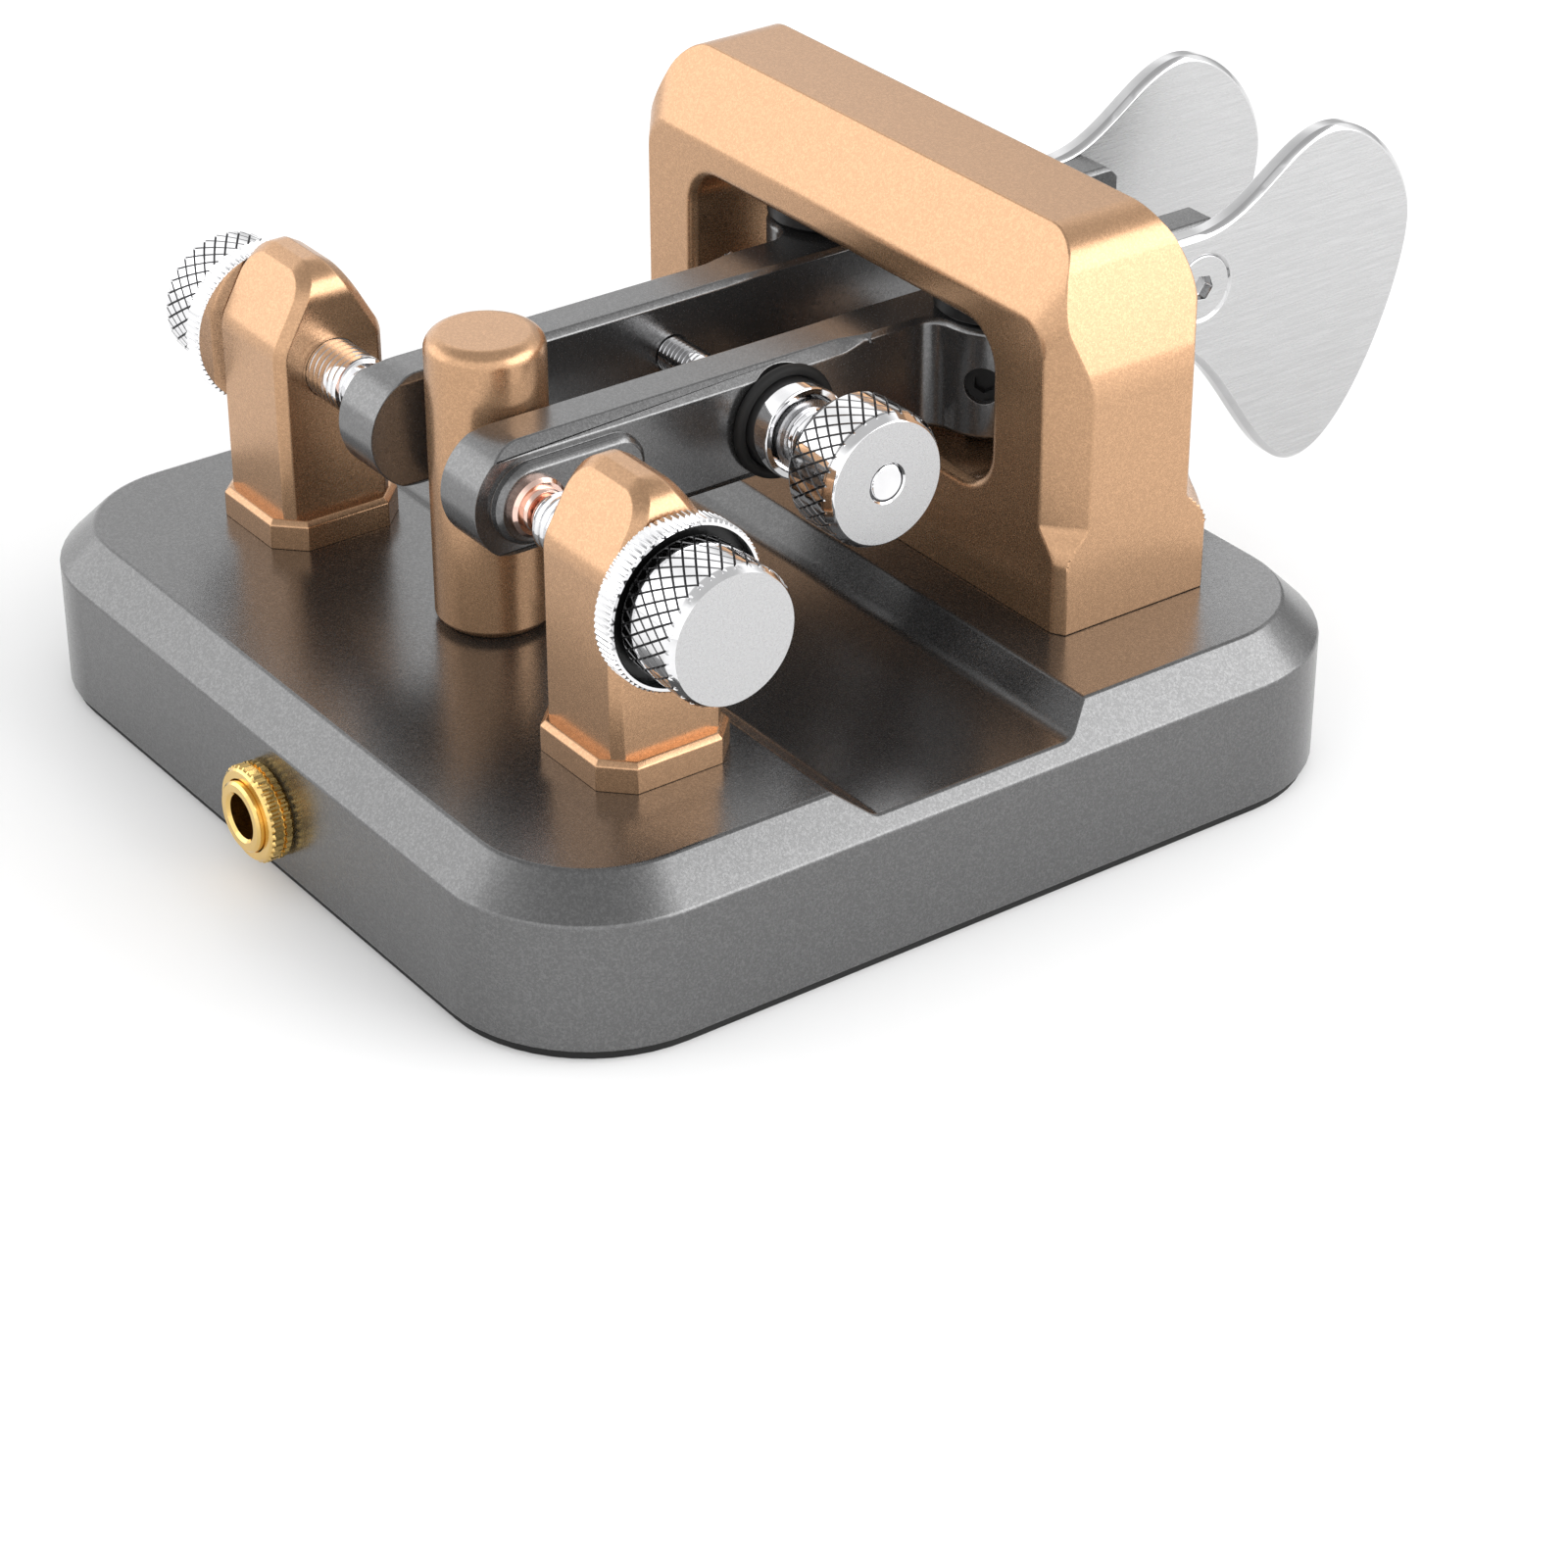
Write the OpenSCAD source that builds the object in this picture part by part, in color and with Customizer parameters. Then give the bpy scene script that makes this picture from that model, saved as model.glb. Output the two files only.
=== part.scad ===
// Twin-lever morse key on a weighted base, millimetres, real size.
// Origin: centre of the underside, on the surface the key stands on.
// +Z up. -Y is the operator's side with the finger plates, +Y the rear with the socket.
// The left lever is at -X and the right lever at +X, as the operator sits.

/* [Base] */
// width of the base along X
base_w = 80; // [70:1:90]
// depth of the base along Y
base_d = 79; // [76:1:90]
// height of the metal base
base_h = 13.6; // [12:0.1:18]
// thickness of the rubber sheet under the base
pad_t = 0.8; // [0.5:0.1:2]
// radius of the base's upright corners
base_r = 12.5; // [8:0.5:14]
// chamfer round the top edge
base_c = 3; // [1:0.1:4]
// depth of the cross channel
chan_t = 1.9; // [1:0.1:3]

/* [Bridge] */
// width over the legs
br_w = 58; // [55:0.2:62]
// height of the bridge over the base
br_h = 31.4; // [30:0.2:34]
// thickness along Y
br_t = 15.1; // [14:0.1:18]
// distance of the bridge's middle in front of the base's middle
br_y = 22.9; // [22:0.1:24]
// width of the portal opening
open_w = 39.6; // [38:0.2:42]
// height of the portal opening
open_h = 13.4; // [13:0.1:14.5]

/* [Levers] */
// distance of each pivot from the middle
piv_x = 11.1; // [10.5:0.1:12]
// height of the lever's middle line
axis_z = 29.1; // [28.8:0.1:30]
// height of a lever
arm_h = 9.5; // [9:0.1:10]
// gap between the middle plane and a lever's inner wall
arm_in = 4.9; // [4.9:0.1:6]
// thickness of a lever behind the hub
arm_t = 4.8; // [4.4:0.1:5.2]
// radius of the pivot hub
hub_r = 5; // [4.8:0.1:5.4]
// distance of the contact line behind the base's middle
con_y = 20.1; // [18:0.1:22]

/* [Contacts] */
// distance of a contact post from the middle
post_x = 23.2; // [22:0.1:24]
// height of a contact post over the base
post_h = 23.2; // [22:0.1:26]
// air gap between a lever's button and the screw's tip
gap = 0.5; // [0.4:0.05:0.8]
// radius of a contact screw's thread
scr_r = 2.5; // [2:0.1:3]
// radius of a contact screw's knob
knob_r = 5.6; // [4.5:0.1:5.7]

/* [Tension] */
// distance of the tension rod in front of the base's middle
ten_y = 3; // [1:0.1:6]
// radius of the tension knob
ten_r = 5.5; // [4.4:0.1:5.8]

/* [Finger plates] */
// thickness of a finger plate
fin_t = 2; // [1.5:0.1:3]

/* [Hidden] */
$fn = 64;
top_z = pad_t + base_h;
pad_in = 0.4;
// bridge
br_hw = br_w / 2;
br_ht = br_t / 2;
br_top = top_z + br_h;
open_z = top_z + 8.9;
open_top = open_z + open_h;
leg_x = (open_w / 2 + br_hw) / 2;
leg_screw_y = 4.2;
// levers
arm_out = arm_in + arm_t;
arm_lo = axis_z - arm_h / 2;
arm_hi = axis_z + arm_h / 2;
front_out = arm_out - 1.25;
front_end = 48.7;
boss_out = arm_out + 1.05;
pin_r = 1.5;
pin_fit = 0.04;
brg_r = 3.5;
brg_t = 2.5;
race_r = 2.2;
plate_screws = [-37.1, -45.1];
// contacts
centre_y = 17.4;
post_hw = 4.8;
post_out = post_x + post_hw;
but_out = boss_out + 1.4;
tip_in = but_out + gap;
knob_end = post_out + 8;
nut_in = post_out + 0.15;
nut_out = post_out + 2.15;
nut_floor = post_out + 1.2;
nut_r = 6.7;
recess_r = 5.9;
// socket
jack_x = -2.25;
jack_z = 5.8;
jack_r = 3;
jack_back = 22;
jack_wall = 34;
nut_t = 2.1;
// tension adjuster
seat_x = arm_out - 0.7;
cup_end = 12.9;
cup_r = 3.7;
knob_face = 23.2;
knob_back = 17.5;
neck_r = 2.4;
// colours
dark = [0.33, 0.33, 0.34];
black = [0.06, 0.06, 0.06];
rose = [0.8, 0.56, 0.4];
shine = [0.85, 0.85, 0.87];
gold = [0.8, 0.62, 0.3];

// a cylinder along X from x0 to x1
module rod_x(x0, x1, r) {
  translate([min(x0, x1), 0, 0])
    rotate([0, 90, 0])
      cylinder(r = r, h = abs(x1 - x0));
}
// a cylinder along +Y, h long
module rod_y(r, h) {
  rotate([-90, 0, 0]) cylinder(r = r, h = h);
}
// a screw along +Z, its head first, with a hexagonal socket in the head
module cap_screw(head_r, head_h, r, h, hex_r) {
  difference() {
    union() {
      cylinder(r = head_r, h = head_h);
      translate([0, 0, head_h - 0.1]) cylinder(r = r, h = h + 0.1);
    }
    translate([0, 0, -1]) cylinder(r = hex_r, h = 1 + head_h * 0.6, $fn = 6);
  }
}
// a plan outline, w by d, with round corners
module round_rect(w, d, r) {
  square([w - 2 * r, d], center = true);
  square([w, d - 2 * r], center = true);
  for (x = [-1, 1])
    for (y = [-1, 1])
      translate([x * (w / 2 - r), y * (d / 2 - r)])
        circle(r);
}
// a plan outline, w by d, with its corners cut by cx along X and cy along Y
module cut_rect(w, d, cx, cy) {
  polygon([[-w / 2, cy - d / 2], [cx - w / 2, -d / 2], [w / 2 - cx, -d / 2],
    [w / 2, cy - d / 2], [w / 2, d / 2 - cy], [w / 2 - cx, d / 2],
    [cx - w / 2, d / 2], [-w / 2, d / 2 - cy]]);
}
// puts a shape on both sides of the middle plane
module both_sides() {
  children();
  mirror([1, 0, 0]) children();
}

// ---------- base ----------
// cuts one straight top edge, which runs along Y at x = 0
module edge_cutter(len) {
  rotate([90, 0, 0])
    translate([0, 0, -len / 2])
      linear_extrude(len)
        polygon([[-base_c - 0.5, 0.5], [0.5, 0.5], [0.5, -base_c - 0.5]]);
}
// cuts the top edge of the corner at +X, +Y
module corner_cutter() {
  translate([base_w / 2 - base_r, base_d / 2 - base_r, top_z])
    rotate_extrude(angle = 90)
      polygon([[base_r - base_c - 0.5, 0.5], [base_r + 0.5, 0.5],
        [base_r + 0.5, -base_c - 0.5]]);
}
module base_plate() {
  cavity_h = 6.7;
  color(dark)
    difference() {
      translate([0, 0, pad_t]) linear_extrude(base_h) round_rect(base_w, base_d, base_r);
      both_sides()
        translate([base_w / 2, 0, top_z]) edge_cutter(base_d - 2 * base_r);
      for (side = [-1, 1])
        translate([0, side * base_d / 2, top_z])
          rotate([0, 0, side * 90])
            edge_cutter(base_w - 2 * base_r);
      both_sides() {
        corner_cutter();
        mirror([0, 1, 0]) corner_cutter();
      }
      // cross channel with sloping walls
      translate([-base_w / 2 - 1, 0, top_z])
        rotate([90, 0, 90])
          linear_extrude(base_w + 2)
            polygon([[12.3, 0.01], [9.8, -chan_t], [-8.5, -chan_t], [-11.8, 0.01]]);
      // wiring cavity, closed by the rubber sheet
      translate([-14, 8, pad_t - 1]) cube([28, jack_wall - 8, 1 + cavity_h]);
      translate([-27, con_y - 4, pad_t - 1]) cube([54, 8, 1 + cavity_h]);
      translate([jack_x - 3.8, jack_back - 0.5, pad_t])
        cube([7.6, jack_wall - jack_back + 0.5, jack_z + 3]);
      translate([jack_x, jack_wall - 1, jack_z]) rod_y(jack_r + 0.02, 12);
      // holes for the post bushes, the bridge screws and the centre post's screw
      both_sides() {
        translate([post_x, con_y, pad_t]) cylinder(r = 3, h = base_h + 1);
        for (y = [-1, 1])
          translate([leg_x, y * leg_screw_y - br_y, pad_t - 1]) {
            cylinder(r = 1.7, h = base_h + 2);
            cylinder(r = 3, h = 5);
          }
      }
      translate([0, centre_y, pad_t]) cylinder(r = 2.2, h = base_h + 1);
    }
}
module foot_pad() {
  color(black)
    linear_extrude(pad_t)
      round_rect(base_w - 2 * pad_in, base_d - 2 * pad_in, base_r - pad_in);
}

// ---------- bridge ----------
module bridge() {
  foot_h = 7.2;
  color(rose)
    difference() {
      intersection() {
        // front outline: upright legs and sloping shoulders
        translate([0, 20 - br_y, 0])
          rotate([90, 0, 0])
            linear_extrude(40)
              polygon([[-br_hw, top_z], [br_hw, top_z], [br_hw, br_top - 11.1],
                [br_hw - 4, br_top], [4 - br_hw, br_top], [-br_hw, br_top - 11.1]]);
        // side outline: upright faces, chamfered towards the top
        translate([-50, -br_y, 0])
          rotate([90, 0, 90])
            linear_extrude(100)
              polygon([[-br_ht, top_z], [br_ht, top_z], [br_ht, br_top - 6.3],
                [3.9, br_top], [-3.9, br_top], [-br_ht, br_top - 6.3]]);
        // plan outline: cut corners, smaller on the feet
        translate([0, -br_y, top_z])
          union() {
            translate([0, 0, foot_h]) linear_extrude(br_h) cut_rect(br_w, br_t, 3, 2.65);
            linear_extrude(foot_h + 0.1) cut_rect(br_w, br_t, 1.1, 0.65);
          }
      }
      // portal
      translate([0, 20 - br_y, open_z + open_h / 2])
        rotate([90, 0, 0])
          linear_extrude(40)
            round_rect(open_w, open_h, 3.4);
      both_sides() {
        // pivot hole, through the lower beam and blind in the upper one
        translate([piv_x, -br_y, top_z - 1]) cylinder(r = pin_r, h = 28.2);
        // blind threads for the screws from below
        for (y = [-1, 1])
          translate([leg_x, y * leg_screw_y - br_y, top_z - 1]) cylinder(r = 1.5, h = 9);
      }
    }
}
module bridge_screws() {
  color(dark)
    both_sides()
      for (y = [-1, 1])
        translate([leg_x, y * leg_screw_y - br_y, 1.8])
          cap_screw(2.75, 3, 1.5, 16, 1.44);
}
module pivot_pins() {
  color(shine)
    both_sides()
      translate([piv_x, -br_y, top_z + 0.2]) cylinder(r = pin_r, h = 26.8);
}
// sleeves that set the lever's height in the portal
module pivot_spacers() {
  color(black)
    both_sides()
      translate([piv_x, -br_y, 0])
        difference() {
          union() {
            translate([0, 0, open_z]) cylinder(r = race_r, h = arm_lo + 0.2 - open_z);
            translate([0, 0, arm_hi - 0.2]) cylinder(r = race_r, h = 0.5);
            translate([0, 0, arm_hi + 0.3]) cylinder(r = hub_r, h = open_top - arm_hi - 0.3);
          }
          translate([0, 0, arm_lo + 0.2]) cylinder(r = 10, h = arm_h - 0.4);
          translate([0, 0, open_z - 1]) cylinder(r = pin_r, h = 20);
        }
}
// inner rings of the four ball bearings, fixed on the pins
module bearing_races() {
  color(shine)
    both_sides()
      for (z = [arm_lo + 0.2, arm_hi - 0.2 - brg_t])
        translate([piv_x, -br_y, z])
          difference() {
            cylinder(r = race_r, h = brg_t);
            translate([0, 0, -1]) cylinder(r = pin_r, h = 5);
          }
}

// ---------- centre post ----------
module centre_post() {
  r = 4.67;
  h = 24.1;
  edge = 1.3;
  color(rose)
    translate([0, centre_y, top_z])
      difference() {
        rotate_extrude($fn = 96)
          difference() {
            square([r, h]);
            translate([r - edge, h - edge])
              difference() {
                square(2);
                circle(edge, $fn = 48);
              }
            translate([r - 0.7, 0]) polygon([[0, -0.01], [1, -0.01], [1, 1]]);
          }
        translate([0, 0, -1]) cylinder(r = 2, h = 12);
      }
}
module centre_post_screw() {
  color(dark)
    translate([0, centre_y, 4.3])
      cap_screw(3.5, 3.2, 2, 15, 1.73);
}

// ---------- contact posts ----------
module contact_post() {
  foot_w = 11.7;
  foot_d = 11.9;
  body_w = 9.6;
  body_d = 9.8;
  color(rose)
    translate([-post_x, con_y, top_z])
      difference() {
        union() {
          linear_extrude(2.1) cut_rect(foot_w, foot_d, 2.2, 2.2);
          linear_extrude(2.5) cut_rect(foot_w - 0.8, foot_d - 0.8, 2, 2);
          intersection() {
            linear_extrude(post_h) cut_rect(body_w, body_d, 0.75, 0.75);
            // shoulders to the left and right
            translate([0, 10, 0])
              rotate([90, 0, 0])
                linear_extrude(20)
                  polygon([[-post_hw, 0], [post_hw, 0], [post_hw, post_h - 1.9],
                    [3.1, post_h], [-3.1, post_h], [-post_hw, post_h - 1.9]]);
            // slopes to the front and rear
            translate([-10, 0, 0])
              rotate([90, 0, 90])
                linear_extrude(20)
                  polygon([[-4.9, 0], [4.9, 0], [4.9, post_h - 6.2],
                    [1.4, post_h], [-1.4, post_h], [-4.9, post_h - 6.2]]);
          }
        }
        // threaded bore for the contact screw
        translate([0, 0, axis_z - top_z]) rod_x(-8, 8, scr_r + pin_fit);
        // blind thread for the fixing screw
        translate([0, 0, -1]) cylinder(r = 1.5, h = 8);
      }
}
module contact_post_left() {
  contact_post();
}
module contact_post_right() {
  mirror([1, 0, 0]) contact_post();
}
// insulating bushes that keep the posts' screws off the base
module post_bushes() {
  color([0.9, 0.9, 0.86])
    both_sides()
      translate([post_x, con_y, 0])
        difference() {
          union() {
            translate([0, 0, 6.4]) cylinder(r = 3.8, h = 1.1);
            translate([0, 0, 7.4]) cylinder(r = 3, h = top_z - 7.4);
          }
          translate([0, 0, 5]) cylinder(r = 1.5, h = 12);
        }
}
module post_screws() {
  color(shine)
    both_sides()
      translate([post_x, con_y, 3.9])
        cap_screw(2.75, 2.5, 1.5, 14.5, 1.44);
}

// ---------- socket and wiring ----------
module jack_body() {
  barrel = base_d / 2 - jack_wall + nut_t;
  color(black)
    translate([jack_x, jack_back, jack_z])
      difference() {
        union() {
          translate([-3.6, 0, -3.8]) cube([7.2, jack_wall - jack_back, 3.8]);
          rod_y(3.6, jack_wall - jack_back);
          translate([0, jack_wall - jack_back - 1, 0]) {
            rod_y(jack_r, barrel + 0.8);
            rod_y(jack_r - 0.15, barrel + 1.55);
          }
        }
        translate([0, 1.5, 0]) rod_y(1.8, 30);
        // slots of the contact springs
        for (x = [-1, 1])
          translate([x * 2.2 - 0.4, -1, -3.3]) cube([0.8, 10, 1.3]);
      }
}
module jack_nut() {
  color(gold)
    translate([jack_x, base_d / 2, jack_z])
      difference() {
        rod_y(3.9, nut_t);
        translate([0, -1, 0]) rod_y(jack_r, 8);
      }
}
// springs that touch the plug, with their solder tags behind the socket
module jack_springs() {
  color(gold)
    for (x = [-1, 1])
      translate([jack_x + x * 2.2 - 0.2, jack_back - 1.4, jack_z - 3.1])
        cube([0.4, 10.4, 1]);
}
// one wire from a solder tag to a post's screw, under the other parts
module post_wire(tag_x, end_x) {
  wire_r = 0.5;
  wire_y = jack_back - 0.9;
  low_z = 1.9;
  translate([0, wire_y, low_z]) {
    rod_x(tag_x, end_x, wire_r);
    translate([tag_x, 0, 0]) {
      sphere(wire_r);
      cylinder(r = wire_r, h = jack_z - 3.1 - low_z);
    }
    translate([end_x, 0, 0]) {
      sphere(wire_r);
      cylinder(r = wire_r, h = 3.9 - low_z);
    }
  }
}
module wires() {
  color([0.7, 0.15, 0.12]) {
    post_wire(jack_x - 2.2, -post_x);
    post_wire(jack_x + 2.2, post_x);
  }
}

// ---------- levers ----------
// how far from the pivot, along Y, the hub's fillet meets a wall at x = wall
function fillet_y(wall, r) = sqrt(pow(hub_r + r, 2) - pow(wall + r - piv_x, 2));
module lever() {
  edge = 0.95;
  inner_edge = 0.5;
  fillet = 2;
  boss_half = 3.3;
  boss_start = 10.1;
  boss_r = 2.5;
  color(dark)
    difference() {
      union() {
        // rear bar with a round end and cut edges
        intersection() {
          translate([-arm_out, 0, 0])
            rotate([90, 0, 90])
              linear_extrude(arm_t)
                union() {
                  translate([con_y, axis_z]) circle(arm_h / 2);
                  translate([-br_y, arm_lo]) square([con_y + br_y, arm_h]);
                }
          translate([0, 60, 0])
            rotate([90, 0, 0])
              linear_extrude(120)
                polygon([[-arm_out, arm_lo + edge], [edge - arm_out, arm_lo],
                  [-arm_in - inner_edge, arm_lo], [-arm_in, arm_lo + inner_edge],
                  [-arm_in, arm_hi - inner_edge], [-arm_in - inner_edge, arm_hi],
                  [edge - arm_out, arm_hi], [-arm_out, arm_hi - edge]]);
        }
        // hub round the pivot, filleted into the bar
        translate([-piv_x, -br_y, arm_lo])
          linear_extrude(arm_h)
            difference() {
              union() {
                circle(hub_r);
                translate([piv_x - arm_out, 0]) square([arm_t, fillet_y(arm_out, fillet)]);
                mirror([0, 1])
                  translate([piv_x - front_out, 0])
                    square([front_out - arm_in, fillet_y(front_out, fillet)]);
                polygon([[0, 0], [piv_x - arm_out, fillet_y(arm_out, fillet)],
                  [piv_x - arm_out - fillet, fillet_y(arm_out, fillet)]]);
                polygon([[0, 0], [piv_x - front_out, -fillet_y(front_out, fillet)],
                  [piv_x - front_out - fillet, -fillet_y(front_out, fillet)]]);
              }
              translate([piv_x - arm_out - fillet, fillet_y(arm_out, fillet)]) circle(fillet);
              translate([piv_x - front_out - fillet, -fillet_y(front_out, fillet)]) circle(fillet);
              translate([piv_x - arm_in, -20]) square(40);
            }
        // front bar, thinner, under the finger plate
        translate([-front_out, 0, 0])
          rotate([90, 0, 90])
            linear_extrude(front_out - arm_in)
              polygon([[-br_y, arm_lo], [-br_y, arm_hi], [1 - front_end, arm_hi],
                [-front_end, arm_hi - 1], [-front_end, arm_lo + 1], [1 - front_end, arm_lo]]);
        // raised pad round the contact button
        translate([-boss_out, 0, axis_z])
          rotate([90, 0, 90])
            linear_extrude(boss_out - arm_out + 0.5)
              union() {
                translate([con_y, 0]) circle(boss_half);
                translate([boss_start + boss_r, -boss_half])
                  square([con_y - boss_start - boss_r, 2 * boss_half]);
                translate([boss_start, boss_r - boss_half])
                  square([boss_r, 2 * (boss_half - boss_r)]);
                for (z = [-1, 1])
                  translate([boss_start + boss_r, z * (boss_half - boss_r)])
                    circle(boss_r);
              }
      }
      // pivot hole and bearing seats
      translate([-piv_x, -br_y, arm_lo - 1]) {
        cylinder(r = 2.9, h = arm_h + 2);
        cylinder(r = brg_r, h = 1.2 + brg_t);
      }
      translate([-piv_x, -br_y, arm_hi - 0.2 - brg_t]) cylinder(r = brg_r, h = 5);
      // thread for the hub's set screw
      translate([-piv_x, -br_y, axis_z])
        rotate([0, 90, 130])
          translate([0, 0, 2]) cylinder(r = 1.5, h = 6);
      // seat of the contact button
      translate([0, con_y, axis_z]) rod_x(-boss_out - 1, -arm_in - 1.2, 1);
      // threads for the finger plate's screws
      for (y = plate_screws)
        translate([0, y, axis_z]) rod_x(-front_out - 1, -arm_in - 0.3, 1.25);
    }
}
module lever_left() {
  difference() {
    lever();
    // clearance hole for the tension rod, counterbored for the bush
    color(dark)
      translate([0, -ten_y, axis_z]) {
        rod_x(-20, 0, 2.2);
        rod_x(-20, -seat_x + 1.3, 4.4);
      }
  }
}
module lever_right() {
  difference() {
    mirror([1, 0, 0]) lever();
    // thread for the tension rod
    color(dark)
      translate([0, -ten_y, axis_z]) rod_x(0, 20, pin_r + pin_fit);
  }
}
// outer rings of the ball bearings, held in the lever
module bearings_left() {
  color(shine)
    for (z = [arm_lo + 0.2, arm_hi - 0.2 - brg_t])
      translate([-piv_x, -br_y, z])
        difference() {
          cylinder(r = brg_r, h = brg_t);
          translate([0, 0, -1]) cylinder(r = race_r + pin_fit, h = 5);
        }
}
module bearings_right() {
  mirror([1, 0, 0]) bearings_left();
}
module hub_screw_left() {
  color([0.2, 0.2, 0.2])
    translate([-piv_x, -br_y, axis_z])
      rotate([0, 90, 130])
        difference() {
          translate([0, 0, 3.5]) cylinder(r = 1.5, h = 0.9);
          translate([0, 0, 3.8]) cylinder(r = 0.87, h = 3, $fn = 6);
        }
}
module hub_screw_right() {
  mirror([1, 0, 0]) hub_screw_left();
}
module contact_button_left() {
  color(rose)
    translate([0, con_y, axis_z]) {
      rod_x(-boss_out - 0.1, -arm_in - 1.4, 1);
      rod_x(-boss_out - 0.7, -boss_out, 2.4);
      rod_x(-but_out, -boss_out - 0.6, 1.8);
    }
}
module contact_button_right() {
  mirror([1, 0, 0]) contact_button_left();
}

// ---------- finger plates ----------
// n points of the curve from a to d with handles b and c, without its end
function curve(a, b, c, d, n) = [for (i = [0 : n - 1])
  let (t = i / n, u = 1 - t)
  a * u * u * u + b * 3 * u * u * t + c * 3 * u * t * t + d * t * t * t];
shank_hi = 33.9;
shank_lo = 24.2;
leaf_top = [-58.6, 40];
leaf_end = [-68.3, 29.5];
leaf_low = [-56.9, 10.1];
neck_hi = [-44.5, shank_hi];
neck_lo = [-41.6, shank_lo];
// outline in Y and Z: shank, neck, leaf
plate_path = concat(
  [[-32.4, shank_lo + 0.8], [-32.4, shank_hi - 0.8], [-33.2, shank_hi]],
  curve(neck_hi, neck_hi + [-6, 0], leaf_top + [5, 0], leaf_top, 14),
  curve(leaf_top, leaf_top + [-4.6, 0], leaf_end + [0, 4.6], leaf_end, 14),
  curve(leaf_end, leaf_end + [0, -6], leaf_low + [-5.6, 0], leaf_low, 16),
  curve(leaf_low, leaf_low + [5.6, 0], neck_lo + [-6, -0.6], neck_lo, 16),
  [neck_lo, [-33.2, shank_lo]]);
module finger_plate_left() {
  plate_out = front_out + fin_t;
  color([0.82, 0.82, 0.84])
    difference() {
      translate([-plate_out, 0, 0])
        rotate([90, 0, 90])
          linear_extrude(fin_t)
            polygon(plate_path);
      for (y = plate_screws)
        translate([0, y, axis_z]) {
          rod_x(-plate_out - 1, -front_out + 1, 1.5);
          translate([-plate_out, 0, 0])
            rotate([0, 90, 0])
              cylinder(r1 = 2.9, r2 = 1.5, h = 1.4);
        }
    }
}
module finger_plate_right() {
  mirror([1, 0, 0]) finger_plate_left();
}
module finger_screws_left() {
  head_x = front_out + fin_t - 0.05;
  color(shine)
    for (y = plate_screws)
      translate([0, y, axis_z])
        difference() {
          union() {
            translate([-head_x, 0, 0])
              rotate([0, 90, 0])
                cylinder(r1 = 2.85, r2 = 1.4, h = 1.45);
            rod_x(-front_out - 0.7, -front_out, 1.4);
            rod_x(-front_out - 0.1, -arm_in - 0.6, 1.25);
          }
          rotate([0, -90, 0])
            translate([0, 0, head_x - 1])
              cylinder(r = 1.15, h = 2, $fn = 6);
        }
}
module finger_screws_right() {
  mirror([1, 0, 0]) finger_screws_left();
}

// ---------- contact screws ----------
module contact_tip_left() {
  color(rose)
    translate([0, con_y, axis_z]) {
      rod_x(-tip_in - 0.5, -tip_in, 1.8);
      rod_x(-tip_in - 3, -tip_in - 0.4, 0.95);
    }
}
module contact_screw_left() {
  color(shine)
    translate([0, con_y, axis_z])
      difference() {
        union() {
          rod_x(-tip_in - 1.1, -tip_in - 0.55, 2);
          rod_x(-nut_floor - 0.2, -tip_in - 1, scr_r);
          rod_x(-knob_end + 1.5, -nut_floor - 0.1, 2);
        }
        rod_x(-tip_in - 3.2, -tip_in, 1);
      }
}
module contact_knob_left() {
  color(shine)
    translate([0, con_y, axis_z])
      difference() {
        union() {
          rod_x(-knob_end + 0.5, -nut_floor - 0.35, knob_r);
          rod_x(-knob_end, -knob_end + 0.6, knob_r - 0.5);
        }
        rod_x(-knob_end + 1.5, 0, 2);
      }
}
module lock_nut_left() {
  color(shine)
    translate([0, con_y, axis_z])
      difference() {
        rod_x(-nut_out, -nut_in, nut_r);
        rod_x(-nut_out - 1, -nut_floor, recess_r);
        rod_x(-post_out - 4, -post_out, scr_r + pin_fit);
      }
}
module contact_tip_right() {
  mirror([1, 0, 0]) contact_tip_left();
}
module contact_screw_right() {
  mirror([1, 0, 0]) contact_screw_left();
}
module contact_knob_right() {
  mirror([1, 0, 0]) contact_knob_left();
}
module lock_nut_right() {
  mirror([1, 0, 0]) lock_nut_left();
}

// ---------- tension adjuster ----------
// black bush in the left lever's counterbore
module tension_bush() {
  color(black)
    translate([0, -ten_y, axis_z])
      difference() {
        rod_x(-seat_x, -seat_x + 1.3, 4.4);
        rod_x(-20, 0, 2.4);
      }
}
module tension_ring() {
  ring_r = 0.55;
  color(black)
    translate([-arm_out - ring_r, -ten_y, axis_z])
      rotate([0, 90, 0])
        rotate_extrude($fn = 72)
          translate([cup_r + ring_r, 0]) circle(ring_r, $fn = 24);
}
module tension_cup() {
  color(shine)
    translate([0, -ten_y, axis_z])
      difference() {
        rod_x(-cup_end, -seat_x, cup_r);
        rod_x(-20, -seat_x - 0.8, cup_r - 0.5);
        rod_x(-20, 0, 2.4);
      }
}
module tension_spring() {
  color([0.6, 0.6, 0.62])
    translate([0, -ten_y, axis_z])
      difference() {
        rod_x(-cup_end + 0.7, -seat_x - 0.8, 2.7);
        rod_x(-20, 0, 2);
      }
}
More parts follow.
